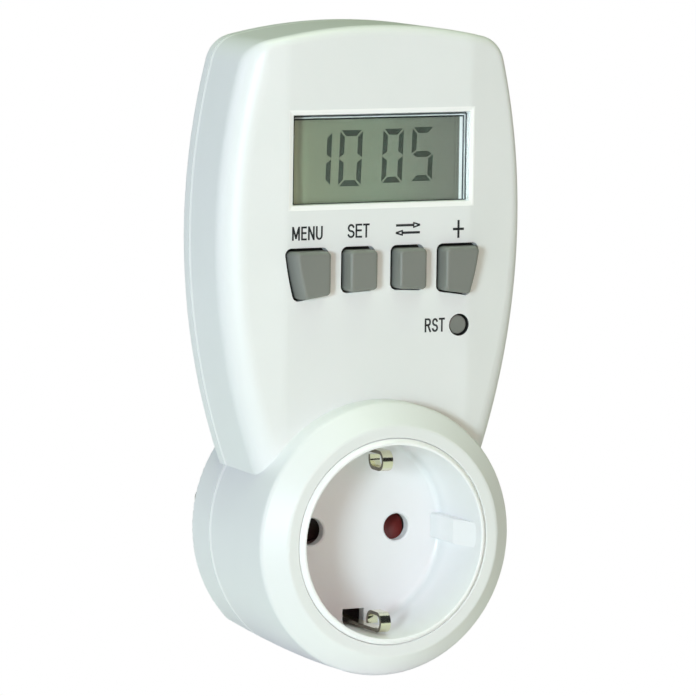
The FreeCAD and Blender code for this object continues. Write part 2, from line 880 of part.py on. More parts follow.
def guide_rib():
    """Rib on the recess's wall that rises from the front in a long slope."""
    outer_x = recess_radius + lip_gap
    front_x = recess_radius - guide_rib_front_height
    low = -guide_rib_width / 2
    start_y = ring_y + guide_rib_start
    corners = [
        Vector(outer_x, start_y, low),
        Vector(front_x, start_y + guide_rib_lead, low),
        Vector(recess_radius - guide_rib_height, recess_floor_y + lip_gap, low),
        Vector(outer_x, recess_floor_y + lip_gap, low),
        Vector(outer_x, start_y, low),
    ]
    rib = Part.Face(Part.makePolygon(corners)).extrude(Vector(0, 0, guide_rib_width))
    crests = [edge for edge in rib.Edges if edge.BoundBox.XMax < recess_radius
              and edge.BoundBox.ZLength < near]
    return rib.makeFillet(guide_rib_round, crests)


def socket_insert():
    cup = rod(0, 0, insert_radius, (ring_y, insert_back_y))
    cup = cup.makeChamfer(seam_chamfer, edges_at(cup, ring_y))
    cup = cup.fuse(taper(0, 0, insert_radius - rim_slope, insert_radius - seam_chamfer, (rim_y, ring_y)))
    seat_y = ring_y + ring_wall
    cup = cup.fuse(rod(0, 0, insert_flange_radius, (seat_y, seat_y + insert_flange_thickness)))
    recess = rod(0, 0, recess_radius, (rim_y - overrun, recess_floor_y))
    recess = recess.makeFillet(recess_round, edges_at(recess, recess_floor_y))
    cup = cup.cut(recess)
    cup = cup.makeFillet(rim_round, edges_at(cup, rim_y))
    for side in (1, -1):
        rib = guide_rib()
        through = (recess_floor_y - recess_round, insert_back_y + overrun)
        slot = block(around(0, earth_slot_width / 2), through, (earth_slot_inner, recess_radius))
        if side < 0:
            rib.rotate(Vector(0, 0, 0), Vector(0, 1, 0), 180)
            slot.rotate(Vector(0, 0, 0), Vector(0, 1, 0), 180)
        cup = cup.fuse(rib).cut(slot)
        hole = rod(side * pin_x, 0, pin_hole_radius, (recess_floor_y - overrun, insert_back_y + overrun))
        edge = taper(side * pin_x, 0, pin_hole_radius + pin_hole_chamfer, pin_hole_radius,
                     (recess_floor_y, recess_floor_y + pin_hole_chamfer))
        cup = cup.cut(hole).cut(edge)
        post = rod(side * carrier_screw_x, carrier_screw_z, carrier_post_radius,
                   (insert_back_y - overrun, carrier_front_y))
        cup = cup.fuse(post)
        cup = cup.cut(rod(side * carrier_screw_x, carrier_screw_z, small_screw_radius + screw_gap,
                          (insert_back_y, carrier_front_y + overrun)))
    peg = rod(peg_x, peg_z, spring_peg_radius, (insert_back_y - overrun, insert_back_y + spring_peg_height))
    pivot = rod(0, 0, pivot_radius, (insert_back_y - overrun, carrier_back_y))
    return one(cup.fuse(peg).fuse(pivot).removeSplitter())


save("socket_insert", socket_insert())


# Shutter: two ramped wings on a hub that turns on the insert's post
shutter_front_y = insert_back_y + shutter_run
shutter_back_y = carrier_front_y - shutter_run
shutter_plate_y = shutter_back_y - shutter_plate


def shutter():
    hub = rod(0, 0, shutter_hub_radius, (shutter_plate_y, shutter_back_y))
    body = hub.fuse(block(around(0, pin_x), (shutter_plate_y, shutter_back_y),
                          around(0, shutter_web_width / 2)))
    slope = math.tan(math.radians(shutter_ramp_angle))
    edge = shutter_wing_radius + overrun
    low_y = shutter_front_y + (edge - shutter_wing_radius) * slope
    corners = [
        Vector(pin_x - edge, shutter_front_y - edge, -edge),
        Vector(pin_x - edge, low_y - slope, -edge),
        Vector(pin_x - edge, low_y - slope + 2 * edge * slope, edge),
        Vector(pin_x - edge, shutter_front_y - edge, edge),
        Vector(pin_x - edge, shutter_front_y - edge, -edge),
    ]
    ramp = Part.Face(Part.makePolygon(corners)).extrude(Vector(2 * edge, 0, 0))
    for side in (1, -1):
        wing = rod(pin_x, 0, shutter_wing_radius, (shutter_front_y, shutter_back_y)).cut(ramp)
        if side < 0:
            wing.rotate(Vector(0, 0, 0), Vector(0, 1, 0), 180)
        body = body.fuse(wing)
    body = body.fuse(rod(peg_x, -shutter_peg_z, spring_peg_radius,
                         (shutter_plate_y - spring_peg_height / 2, shutter_back_y)))
    bore = rod(0, 0, pivot_radius + pivot_gap, (shutter_front_y - overrun, shutter_back_y + overrun))
    body = body.cut(bore)
    return one(body.removeSplitter())


save("shutter", shutter())


# Shutter spring: one wire, wound round the pivot with two straight legs
def shutter_spring():
    height = spring_turns * spring_pitch
    start_y = insert_back_y + shutter_run + spring_wire / 2
    coil = Part.makeHelix(spring_pitch, height, spring_coil_radius)
    leg = spring_leg
    rise = spring_pitch * leg / (2 * math.pi * spring_coil_radius)
    start = Vector(spring_coil_radius, 0, 0)
    first = Part.LineSegment(Vector(spring_coil_radius, -leg, -rise), start).toShape()
    end = Vector(spring_coil_radius, 0, height)
    last = Part.LineSegment(end, Vector(spring_coil_radius, leg, height + rise)).toShape()
    path = Part.Wire([first] + coil.Edges + [last])
    direction = Vector(0, leg, rise)
    section = Part.makeCircle(spring_wire / 2, Vector(spring_coil_radius, -leg, -rise), direction)
    tube = path.makePipeShell([Part.Wire([section])], True, True)
    tube.rotate(Vector(0, 0, 0), Vector(1, 0, 0), -90)
    tube.translate(Vector(0, start_y + rise, 0))
    return one(tube)


save("shutter_spring", shutter_spring())


# Contact carrier: plate with the pivot hole, pin holes and a tower round each contact
def contact_carrier():
    half = contact_flare + contact_thickness / 2 + contact_gap
    plate = rod(0, 0, carrier_radius, (carrier_front_y, carrier_back_y))
    plate = plate.common(block((-reach, reach), (carrier_front_y, carrier_back_y),
                               around(0, carrier_half_height)))
    through = (carrier_front_y - overrun, carrier_back_y + overrun)
    plate = plate.cut(rod(0, 0, pivot_radius + pivot_gap, through))
    for side in (1, -1):
        tower_z = contact_height / 2 + contact_gap
        tower = block(around(side * pin_x, half + tower_wall), (carrier_back_y, tower_end_y),
                      around(0, tower_z + tower_wall))
        pocket = block(around(side * pin_x, half), (carrier_back_y, tower_end_y + overrun),
                       around(0, tower_z))
        plate = plate.fuse(tower).cut(pocket)
        plate = plate.cut(rod(side * pin_x, 0, pin_hole_radius + lip_gap, through))
        plate = plate.cut(rod(side * carrier_screw_x, carrier_screw_z, small_screw_radius + lip_gap, through))
    return one(plate.removeSplitter())


save("contact_carrier", contact_carrier())


def carrier_screw(side):
    x = side * carrier_screw_x
    head = crossed_head(x, carrier_screw_z, small_head_radius, small_head_height, carrier_back_y, 1)
    stem = rod(x, carrier_screw_z, small_screw_radius, (insert_back_y + lip_gap, carrier_back_y))
    return one(head.fuse(stem))


save("carrier_screws", carrier_screw(1), carrier_screw(-1))


# Socket contacts: strip bent to a clamp with a narrow waist and a flared mouth
contact_front_y = carrier_back_y + contact_gap
contact_back_y = tower_end_y + contact_thickness + contact_overhang
bridge_back_y = contact_back_y + contact_thickness / 2


def socket_contact(side):
    waist_y = contact_front_y + contact_mouth
    root_y = waist_y + contact_clamp
    leg = [(contact_flare, contact_front_y), (contact_pinch, waist_y), (contact_root, root_y),
           (contact_root, contact_back_y)]
    other = [(-x, y) for x, y in reversed(leg)]
    route = [(side * pin_x + x, y) for x, y in leg + other]
    return one(strip_in_plan(route, strip_bend, contact_thickness, around(0, contact_height / 2)))


save("live_contact", socket_contact(-1))
save("neutral_contact", socket_contact(1))


# Neutral bar: from the contact's bridge round to the pin's riveted shank
def neutral_bar():
    side_x = pin_x + contact_root + bar_offset
    front = bridge_back_y + strap_thickness / 2
    rear = (bar_y + bar_back_y) / 2
    route = [(pin_x - contact_root, front), (side_x, front), (side_x, rear), (pin_x - contact_root, rear)]
    strip = strip_in_plan(route, strip_bend, strap_thickness, around(0, strap_width / 2))
    hole = rod(pin_x, 0, pin_shank_radius + shank_gap, (bar_back_y - overrun, bar_y + overrun))
    return one(strip.cut(hole))


save("neutral_bar", neutral_bar())


# Live tab: ring round the live pin's shank with an upturned solder tab
tab_end_y = bar_back_y - tab_length


def live_tab():
    centre = (bar_y + bar_back_y) / 2
    route = [(centre, tab_foot_z), (centre, tab_top_z), (tab_end_y, tab_top_z)]
    strip = strip_from_side(route, strip_bend, strap_thickness, around(-pin_x, strap_width / 2))
    hole = rod(-pin_x, 0, pin_shank_radius + shank_gap, (bar_back_y - overrun, bar_y + overrun))
    return one(strip.cut(hole))


save("live_tab", live_tab())


# Earth clip of the socket: one strip with a curled nose at each end and a riveting pad in its middle
def earth_clip():
    front = ring_y + nose_depth + clip_thickness / 2
    back = ring_y + clip_back
    loop = [(front, clip_leg), (front, clip_leg - clip_loop_height),
            (front + clip_loop_length, clip_leg - clip_loop_height),
            (front + clip_loop_length, clip_leg - clip_loop_height + clip_curl)]
    upper = [(back, 0), (back, clip_leg)] + loop
    route = [(y, z - clip_drop) for y, z in reversed(upper)]
    route.pop()
    route += [(y, -z - clip_drop) for y, z in upper[1:]]
    strip = strip_from_side(route, clip_bend, clip_thickness, around(0, clip_width / 2))
    pad = rod(0, 0, clip_pad_radius, (back - clip_thickness / 2, back + clip_thickness / 2))
    hole = rod(0, 0, rivet_radius + shank_gap, (back - clip_thickness, back + clip_thickness))
    return one(strip.fuse(pad).cut(hole).removeSplitter())


save("earth_clip", earth_clip())


# Earth strap of the plug: outer contact strips in the grooves, joined across the cavity
def earth_strap():
    outer = plug_radius - earth_groove_depth + strap_thickness / 2
    route = [(-strap_tip, outer), (-strap_cross, outer), (-strap_cross, -outer), (-strap_tip, -outer)]
    strip = strip_from_side(route, strap_bend, strap_thickness, around(0, strap_width / 2))
    hole = rod(0, 0, rivet_radius + shank_gap, around(-strap_cross, strap_thickness))
    return one(strip.cut(hole))


save("earth_strap", earth_strap())


# Earth post: spacer between clip and strap, riveted at both ends
def earth_post():
    front = ring_y + clip_back + clip_thickness / 2
    back = -strap_cross - strap_thickness / 2
    post = rod(0, 0, post_radius, (front, back))
    post = post.fuse(rod(0, 0, rivet_radius, (front - clip_thickness, back + strap_thickness)))
    first = (front - clip_thickness - rivet_head, front - clip_thickness)
    last = (back + strap_thickness, back + strap_thickness + rivet_head)
    post = post.fuse(taper(0, 0, rivet_radius, post_radius, first))
    post = post.fuse(taper(0, 0, post_radius, rivet_radius, last))
    return one(post.removeSplitter())


save("earth_post", earth_post())


# Display lens: clear block in the window with a flange behind the panel
def window_lens():
    x = around(window_x, window_half_width - lens_gap)
    z = around(window_z, window_half_height - lens_gap)
    lens = block(x, (lens_front_y, lens_back_y), z)
    flange_x = around(window_x, window_half_width + lens_flange)
    flange_z = around(window_z, window_half_height + lens_flange)
    return one(lens.fuse(block(flange_x, (panel_inside_y, lens_back_y), flange_z)).removeSplitter())


save("window_lens", window_lens())


# Display glass: two sheets, the front one taller for its contact ledges
def display_glass():
    x = around(window_x, glass_half_width)
    front = block(x, (glass_front_y, glass_middle_y), around(window_z, glass_half_height))
    back = block(x, (glass_middle_y, glass_back_y), around(window_z, glass_back_half_height))
    return one(front.fuse(back).removeSplitter())


save("display_glass", display_glass())


# Display holder: frame round the glass with a floor and two slots for the rubber strips
zebra_z = (glass_half_height + glass_back_half_height) / 2


def display_holder():
    inner_x = glass_half_width + glass_gap
    inner_z = glass_half_height + glass_gap
    y = (glass_front_y, logic_front_y)
    frame = block(around(window_x, inner_x + holder_wall), y, around(window_z, inner_z + holder_wall))
    floor_y = logic_front_y - holder_floor
    frame = frame.cut(block(around(window_x, inner_x), (glass_front_y - overrun, floor_y),
                            around(window_z, inner_z)))
    for side in (1, -1):
        slot_z = around(window_z + side * zebra_z, zebra_width / 2 + glass_gap)
        frame = frame.cut(block(around(window_x, glass_half_width - lens_gap),
                                (glass_middle_y, logic_front_y + overrun), slot_z))
    return one(frame.removeSplitter())


save("display_holder", display_holder())


def zebra_strip(side):
    x = around(window_x, glass_half_width - 2 * lens_gap)
    return block(x, (glass_middle_y, logic_front_y), around(window_z + side * zebra_z, zebra_width / 2))


save("zebra_strips", zebra_strip(1), zebra_strip(-1))


# Keys: moulded caps with a flange behind the panel
def panel_key(side, outer):
    front_y = panel_y - key_stand
    outlines = [key_outline(side, outer, front_y, 1.0), key_outline(side, outer, panel_y, 0.0)]
    cap = Part.makeLoft(outlines, True, True)
    cap = cap.makeFillet(key_edge, edges_at(cap, front_y))
    cap = cap.fuse(key_block(side, outer, 0, key_corner, (panel_y, flange_back_y)))
    flange = key_block(side, outer, key_flange, key_corner + key_flange, (flange_front_y, flange_back_y))
    return one(cap.fuse(flange).removeSplitter())


save("menu_key", panel_key(-1, True))
save("set_key", panel_key(-1, False))
save("arrow_key", panel_key(1, False))
save("plus_key", panel_key(1, True))


def reset_key():
    front_y = panel_y + reset_recess
    cap = rod(reset_x, reset_z, reset_radius, (front_y, flange_back_y))
    cap = cap.makeFillet(reset_radius / 6, edges_at(cap, front_y))
    flange = rod(reset_x, reset_z, reset_radius + key_flange, (flange_front_y, flange_back_y))
    return one(cap.fuse(flange).removeSplitter())


save("reset_key", reset_key())


# Keypad mat: silicone sheet on the logic board with a hollow dome under each key
inner_key_x = (inner_key_near + inner_key_far) / 2
outer_key_x = (outer_key_near + outer_key_foot) / 2
key_middle_z = (key_top_z + key_bottom_z) / 2


def keypad_mat():
    spread = outer_key_far + mat_margin
    sheet = block(around(key_row_x, spread - mat_margin / 2), (mat_front_y, logic_front_y),
                  (key_bottom_z - 2 * mat_margin, key_top_z + mat_margin / 2))
    tab = block(around(reset_x, dome_foot_radius + dome_wall), (mat_front_y, logic_front_y),
                (reset_z - dome_foot_radius - dome_wall / 2, key_bottom_z))
    mat = sheet.fuse(tab)
    places = [(key_row_x + side * x, key_middle_z) for side in (-1, 1) for x in (inner_key_x, outer_key_x)]
    places.append((reset_x, reset_z))
    for x, z in places:
        dome = taper(x, z, dome_top_radius, dome_foot_radius, (dome_top_y, mat_front_y))
        hollow = taper(x, z, dome_top_radius - dome_wall, dome_foot_radius - dome_wall,
                       (dome_top_y + overrun, logic_front_y))
        mat = mat.fuse(dome).cut(hollow)
    return one(mat.removeSplitter())


save("keypad_mat", keypad_mat())


# Logic board with its four screws
def logic_board():
    board = block(around(0, logic_half_width), (logic_front_y, logic_back_y), (logic_bottom_z, logic_top_z))
    board = board.makeFillet(board_corner, upright_edges(board))
    for side in (1, -1):
        for z in (logic_post_low_z, logic_post_high_z):
            board = board.cut(rod(side * logic_post_x, z, small_screw_radius + lip_gap,
                                  (logic_front_y - overrun, logic_back_y + overrun)))
    return one(board)


def logic_screw(x, z):
    head = crossed_head(x, z, small_head_radius, small_head_height, logic_back_y, 1)
    return one(head.fuse(rod(x, z, small_screw_radius, (logic_front_y - small_screw_length, logic_back_y))))


save("logic_board", logic_board())
save("logic_board_screws", *[logic_screw(side * logic_post_x, z) for side in (-1, 1)
                             for z in (logic_post_low_z, logic_post_high_z)])


# Parts on the back of the logic board
chip_size = 10.0
chip_height = 1.6
chip_x = -10.0
chip_z = 74.0
crystal_radius = 1.0
crystal_length = 6.0
crystal_x = 2.0
crystal_z = 68.0
battery_x = 13.5
battery_z = 77.5
tab_width = 4.0
battery_front_y = logic_back_y + tab_thickness
battery_back_y = battery_front_y + battery_thickness


def controller_chip():
    back = logic_back_y + chip_height
    chip = block(around(chip_x, chip_size / 2), (logic_back_y, back), around(chip_z, chip_size / 2))
    return one(chip.makeChamfer(chip_height / 4, edges_at(chip, back)))


def crystal():
    foot = Vector(crystal_x, logic_back_y + crystal_radius, crystal_z)
    can = Part.makeCylinder(crystal_radius, crystal_length, foot, Vector(0, 0, 1))
    return one(can.makeFillet(crystal_radius / 3, [can.Edges[0], can.Edges[2]]))


def backup_battery():
    cell = rod(battery_x, battery_z, battery_radius, (battery_front_y, battery_back_y))
    rims = edges_at(cell, battery_front_y) + edges_at(cell, battery_back_y)
    return one(cell.makeFillet(battery_thickness / 7, rims))


def under_tab():
    z = (battery_z - battery_radius - tab_width / 2, battery_z + battery_radius / 2)
    return block(around(battery_x, tab_width / 2), (logic_back_y, battery_front_y), z)


def over_tab():
    back = battery_back_y + tab_thickness / 2
    top = battery_z + battery_radius + tab_width / 2
    route = [(back, battery_z - battery_radius / 2), (back, top), (logic_back_y, top)]
    return one(strip_from_side(route, 2 * tab_thickness, tab_thickness, around(battery_x, tab_width / 2)))


save("controller_chip", controller_chip())
save("crystal", crystal())
save("backup_battery", backup_battery())
save("battery_tabs", under_tab(), over_tab())


# Power board on two pads and two screws of the rear cover
def power_board():
    board = block(around(0, power_half_width), (power_front_y, power_back_y), (power_bottom_z, power_top_z))
    board = board.makeFillet(board_corner, upright_edges(board))
    for side in (1, -1):
        board = board.cut(rod(side * power_screw_x, power_screw_z, small_screw_radius + lip_gap,
                              (power_front_y - overrun, power_back_y + overrun)))
    return one(board)


def power_screw(side):
    x = side * power_screw_x
    head = crossed_head(x, power_screw_z, small_head_radius, small_head_height, power_front_y, -1)
    return one(head.fuse(rod(x, power_screw_z, small_screw_radius, (power_front_y, back_y - wall / 2))))


save("power_board", power_board())
save("power_board_screws", power_screw(1), power_screw(-1))


# Relay: base, cover, coil on its bobbin, yoke with core, armature with blade, fixed terminal
relay_far_x = relay_x + relay_length
relay_far_z = relay_z + relay_width
relay_mid_z = (relay_z + relay_far_z) / 2
coil_x = relay_x + relay_wall + coil_radius + coil_margin
yoke_x = coil_x + coil_radius + yoke_margin
yoke_low = relay_base_height + relay_base_step + relay_seat
hinge_x = yoke_x + yoke_thickness - hinge_inset
blade_x = hinge_x + blade_offset


def relay_y(height):
    return power_front_y - height


def relay_block(x, height, z):
    return block(x, (relay_y(height[1]), relay_y(height[0])), z)


def relay_rod(x, radius, height):
    return rod(x, relay_mid_z, radius, (relay_y(height[1]), relay_y(height[0])))


def relay_base():
    step = relay_wall + relay_gap
    base = relay_block((relay_x, relay_far_x), (0, relay_base_height), (relay_z, relay_far_z))
    plug = relay_block((relay_x + step, relay_far_x - step), (0, relay_base_height + relay_base_step),
                       (relay_z + step, relay_far_z - step))
    return one(base.fuse(plug).removeSplitter())


def relay_cover():
    shell = relay_block((relay_x, relay_far_x), (relay_base_height, relay_height), (relay_z, relay_far_z))
    shell = shell.makeFillet(relay_corner, edges_at(shell, relay_y(relay_height)))
    inside = relay_block((relay_x + relay_wall, relay_far_x - relay_wall),
                         (0, relay_height - relay_wall), (relay_z + relay_wall, relay_far_z - relay_wall))
    return one(shell.cut(inside))


def relay_yoke():
    foot = relay_block((coil_x - coil_radius, yoke_x + yoke_thickness),
                       (yoke_low, yoke_low + yoke_thickness), around(relay_mid_z, coil_radius))
    back = relay_block((yoke_x, yoke_x + yoke_thickness), (yoke_low, yoke_height),
                       around(relay_mid_z, coil_radius))
    core = relay_rod(coil_x, core_radius, (yoke_low, yoke_height))
    pole = relay_rod(coil_x, core_radius + pole_overhang, (yoke_height - pole_height, yoke_height))
    return one(foot.fuse(back).fuse(core).fuse(pole).removeSplitter())


def relay_bobbin():
    low = yoke_low + yoke_thickness + relay_gap
    high = yoke_height - pole_height - relay_gap
    tube = relay_rod(coil_x, core_radius + bobbin_wall, (low, high))
    spread = coil_radius + bobbin_overhang
    for height in ((low, low + bobbin_flange), (high - bobbin_flange, high)):
        tube = tube.fuse(relay_block(around(coil_x, spread), height, around(relay_mid_z, spread)))
    return one(tube.cut(relay_rod(coil_x, core_radius + relay_gap, (0, relay_height))).removeSplitter())


def relay_winding():
    low = yoke_low + yoke_thickness + relay_gap + bobbin_flange
    high = yoke_height - pole_height - relay_gap - bobbin_flange
    coil = relay_rod(coil_x, coil_radius, (low, high))
    return one(coil.cut(relay_rod(coil_x, core_radius + bobbin_wall, (0, relay_height))))


def relay_armature():
    low = yoke_height + relay_gap
    high = low + armature_thickness
    plate = relay_block((coil_x - coil_radius, hinge_x + armature_overhang), (low, high),
                        around(relay_mid_z, armature_half_width))
    width = around(relay_mid_z, blade_half_width)
    far_x = blade_x + blade_thickness
    lap = relay_block((yoke_x - blade_lap, far_x), (high, high + blade_thickness), width)
    blade = relay_block((blade_x, far_x), (button_height - blade_tip, high + blade_thickness), width)
    button = Part.makeCylinder(button_radius, button_thickness,
                               Vector(far_x, relay_y(button_height), relay_mid_z), Vector(1, 0, 0))
    body = one(plate.fuse(lap).fuse(blade).fuse(button).removeSplitter())
    body.rotate(Vector(hinge_x, relay_y(low), relay_mid_z), Vector(0, 0, 1), armature_open_angle)
    return body


def relay_terminal():
    closed_x = blade_x + blade_thickness + button_thickness
    face_x = closed_x + button_gap
    plate_x = face_x + button_thickness
    plate = relay_block((plate_x, plate_x + terminal_thickness), (yoke_low, button_height + terminal_rise),
                        around(relay_mid_z, terminal_half_width))
    button = Part.makeCylinder(button_radius, button_thickness,
                               Vector(face_x, relay_y(button_height), relay_mid_z), Vector(1, 0, 0))
    return one(plate.fuse(button).removeSplitter())


save("relay_base", relay_base())
save("relay_cover", relay_cover())
save("relay_yoke", relay_yoke())
save("relay_bobbin", relay_bobbin())
save("relay_winding", relay_winding())
save("relay_armature", relay_armature())
save("relay_terminal", relay_terminal())


# Other parts on the power board
capacitor_x = relay_far_x + capacitor_gap
electrolytic_x = 0.5
electrolytic_z = 42.5
varistor_x = -12.2
varistor_z = 47.2
fuse_x = 6.8
fuse_z = 53.6
fuse_length = 9.0
fuse_radius = 1.6
cap_radius = 1.8
cap_length = 2.0
resistor_z = 39.0
resistor_radius = 1.15
resistor_length = 6.3
resistor_first_x = -15.5
resistor_pitch = 7.6
diode_x = 12.6
diode_z = 37.5
diode_radius = 1.3
diode_length = 5.0
diode_pitch = 3.6


def lying(x, z, radius, length, lift):
    """Cylinder along X whose axis is lifted off the power board."""
    start = Vector(x, relay_y(lift), z)
    return Part.makeCylinder(radius, length, start, Vector(1, 0, 0))


def x2_capacitor():
    box = block((capacitor_x, capacitor_x + capacitor_length), (relay_y(capacitor_height), relay_y(0)),
                (relay_z, relay_z + capacitor_width))
    return one(box.makeFillet(capacitor_width / 10, edges_at(box, relay_y(capacitor_height))))


def electrolytic_capacitor():
    can = lying(electrolytic_x, electrolytic_z, electrolytic_radius, electrolytic_length, electrolytic_radius)
    return one(can.makeFillet(electrolytic_radius / 6, [can.Edges[0], can.Edges[2]]))


def varistor():
    disc = rod(varistor_x, varistor_z, varistor_radius, (relay_y(varistor_thickness), relay_y(0)))
    return one(disc.makeFillet(varistor_thickness / 3, edges_at(disc, relay_y(varistor_thickness))))


def fuse():
    body = lying(fuse_x, fuse_z, fuse_radius, fuse_length, cap_radius)
    for start in (fuse_x, fuse_x + fuse_length - cap_length):
        body = body.fuse(lying(start, fuse_z, cap_radius, cap_length, cap_radius))
    return one(body.removeSplitter())


def resistor(count):
    start = resistor_first_x + resistor_pitch * count
    return lying(start, resistor_z, resistor_radius, resistor_length, resistor_radius)


def diode(count):
    return lying(diode_x, diode_z + diode_pitch * count, diode_radius, diode_length, diode_radius)


save("x2_capacitor", x2_capacitor())
save("electrolytic_capacitor", electrolytic_capacitor())
save("varistor", varistor())
save("fuse", fuse())
save("resistors", *[resistor(count) for count in range(2)])
save("diodes", *[diode(count) for count in range(4)])


# Ribbon cable between the boards, an S in side view
ribbon_high_z = 60.0
ribbon_low_z = 49.5
ribbon_y = (logic_back_y + power_front_y) / 2
ribbon_route = [(logic_back_y, ribbon_high_z), (ribbon_y, ribbon_high_z), (ribbon_y, ribbon_low_z),
                (power_front_y, ribbon_low_z)]
ribbon = strip_from_side(ribbon_route, ribbon_bend, ribbon_thickness, around(0, ribbon_width / 2))
save("ribbon_cable", one(ribbon))


# Insulated wires, each one tube of straight runs and tangent arcs
wire_y = (power_front_y + power_back_y) / 2
tab_upper_z = tab_top_z + strap_thickness / 2
live_run_z = 10.5
live_wire_y = (tab_end_y + bar_back_y) / 2
live_wire = wire_tube([(-pin_x, live_wire_y, tab_upper_z), (-pin_x, live_wire_y, live_run_z),
                       (-pin_x, wire_y, live_run_z), (-pin_x, wire_y, power_bottom_z)], live_wire_radius)
save("live_wire", live_wire)

load_x = -pin_x - load_offset
load_run_z = 8.6
load_wire = wire_tube([(load_x, contact_back_y, contact_height / 2), (load_x, contact_back_y, load_run_z),
                       (load_x, wire_y, load_run_z), (load_x, wire_y, power_bottom_z)], load_wire_radius)
save("load_wire", load_wire)

neutral_x = pin_x + contact_root + bar_offset
neutral_run_z = 6.2
neutral_y = (bridge_back_y + bar_back_y) / 2
neutral_wire = wire_tube([(neutral_x, neutral_y, strap_width / 2), (neutral_x, neutral_y, neutral_run_z),
                          (neutral_x, wire_y, neutral_run_z), (neutral_x, wire_y, power_bottom_z)],
                         neutral_wire_radius)
save("neutral_wire", neutral_wire)


# Cover screws, driven from the back into the posts of the front housing
def cover_screw(x, z):
    seat_y = back_y - cover_counterbore
    head = crossed_head(x, z, cover_head_radius, cover_head_height, seat_y, 1)
    stem = rod(x, z, cover_screw_radius, (parting_y - cover_screw_length + overrun, seat_y))
    return one(head.fuse(stem))


save("cover_screws", *[cover_screw(side * x, z) for side in (-1, 1)
                       for x, z in ((top_screw_x, top_screw_z), (low_screw_x, low_screw_z))])
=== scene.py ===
import math
import bmesh
import bpy
from mathutils import Matrix, Vector


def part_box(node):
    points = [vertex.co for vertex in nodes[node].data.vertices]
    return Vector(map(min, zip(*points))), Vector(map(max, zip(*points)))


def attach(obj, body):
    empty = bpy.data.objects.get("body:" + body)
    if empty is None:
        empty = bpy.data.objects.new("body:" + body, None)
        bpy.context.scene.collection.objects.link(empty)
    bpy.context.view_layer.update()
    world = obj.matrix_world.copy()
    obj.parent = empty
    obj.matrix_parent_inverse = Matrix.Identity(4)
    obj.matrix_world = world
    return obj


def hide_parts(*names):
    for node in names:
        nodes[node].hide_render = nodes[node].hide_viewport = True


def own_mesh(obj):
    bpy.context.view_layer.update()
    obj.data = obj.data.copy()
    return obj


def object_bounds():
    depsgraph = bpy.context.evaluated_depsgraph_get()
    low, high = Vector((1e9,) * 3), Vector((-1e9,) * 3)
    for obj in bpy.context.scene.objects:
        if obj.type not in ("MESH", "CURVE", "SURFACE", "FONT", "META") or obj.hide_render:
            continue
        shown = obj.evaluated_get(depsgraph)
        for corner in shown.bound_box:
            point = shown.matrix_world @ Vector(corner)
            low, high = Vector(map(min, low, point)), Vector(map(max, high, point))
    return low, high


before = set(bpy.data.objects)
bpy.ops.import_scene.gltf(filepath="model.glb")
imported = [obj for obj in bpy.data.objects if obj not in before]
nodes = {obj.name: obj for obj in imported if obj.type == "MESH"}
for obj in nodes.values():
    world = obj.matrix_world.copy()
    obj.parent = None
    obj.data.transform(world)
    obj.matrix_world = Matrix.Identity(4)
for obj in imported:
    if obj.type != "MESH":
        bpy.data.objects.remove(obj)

cad_box = [list(corner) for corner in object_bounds()]
scene = bpy.context.scene


# The viewpoint: a long lens about 1.2 m away, a little above the timer and off its left side,
# so that the left wall, the panel and the inside of the socket all show.
camera = bpy.data.objects.new("camera", bpy.data.cameras.new("camera"))
scene.collection.objects.link(camera)
scene.camera = camera
camera.data.sensor_width = 36.0
camera.data.lens = 289.03
camera.data.clip_start = 0.1
camera.data.clip_end = 20.0
right = Vector((0.89740517, -0.44100545, 0.01334767))
up = Vector((0.03933398, 0.11009988, 0.99314191))
back = right.cross(up).normalized()
standpoint = Vector((-0.494076, -1.031398, 0.166936))
camera.matrix_world = Matrix((
    (right.x, up.x, back.x, standpoint.x),
    (right.y, up.y, back.y, standpoint.y),
    (right.z, up.z, back.z, standpoint.z),
    (0, 0, 0, 1)))
scene.view_settings.view_transform = "Standard"
scene.view_settings.look = "None"


# The studio: a white floor that runs out of the picture and glows like a light table, a dim room
# round it, a small bright lamp low at the left and broad soft lamps above and in front.
def new_material(name):
    material = bpy.data.materials.new(name)
    material.use_nodes = True
    return material, material.node_tree, material.node_tree.nodes["Principled BSDF"]


def by_ray(tree, kind, usual, special):
    """Surface with one shader for the usual rays and another for the rays of one kind."""
    chosen = tree.nodes.new("ShaderNodeMixShader")
    tree.links.new(tree.nodes.new("ShaderNodeLightPath").outputs[kind], chosen.inputs["Fac"])
    tree.links.new(usual.outputs["BSDF"], chosen.inputs[1])
    tree.links.new(special.outputs[0], chosen.inputs[2])
    tree.links.new(chosen.outputs["Shader"], tree.nodes["Material Output"].inputs["Surface"])


def white_floor():
    material, tree, shader = new_material("white_floor")
    shader.inputs["Base Color"].default_value = (0.9, 0.9, 0.9, 1)
    shader.inputs["Roughness"].default_value = 0.9
    shader.inputs["Emission Color"].default_value = (0.95, 0.98, 1.0, 1)
    shader.inputs["Emission Strength"].default_value = 0.12
    glow = tree.nodes.new("ShaderNodeEmission")
    glow.inputs["Color"].default_value = (1, 1, 1, 1)
    glow.inputs["Strength"].default_value = 1.0
    by_ray(tree, "Is Camera Ray", shader, glow)
    return material


floor_drop = 0.0002
floor_z = cad_box[0][2] - floor_drop
floor_corners = [(-8, -3, floor_z), (8, -3, floor_z), (8, 14, floor_z), (-8, 14, floor_z)]
floor_mesh = bpy.data.meshes.new("floor")
floor_mesh.from_pydata(floor_corners, [], [(0, 1, 2, 3)])
floor = bpy.data.objects.new("floor", floor_mesh)
floor.data.materials.append(white_floor())
scene.collection.objects.link(floor)

world = bpy.data.worlds.new("dim_room")
scene.world = world
world.use_nodes = True
room = world.node_tree.nodes["Background"]
room.inputs["Color"].default_value = (0.8, 0.9, 1.0, 1)
room.inputs["Strength"].default_value = 0.03

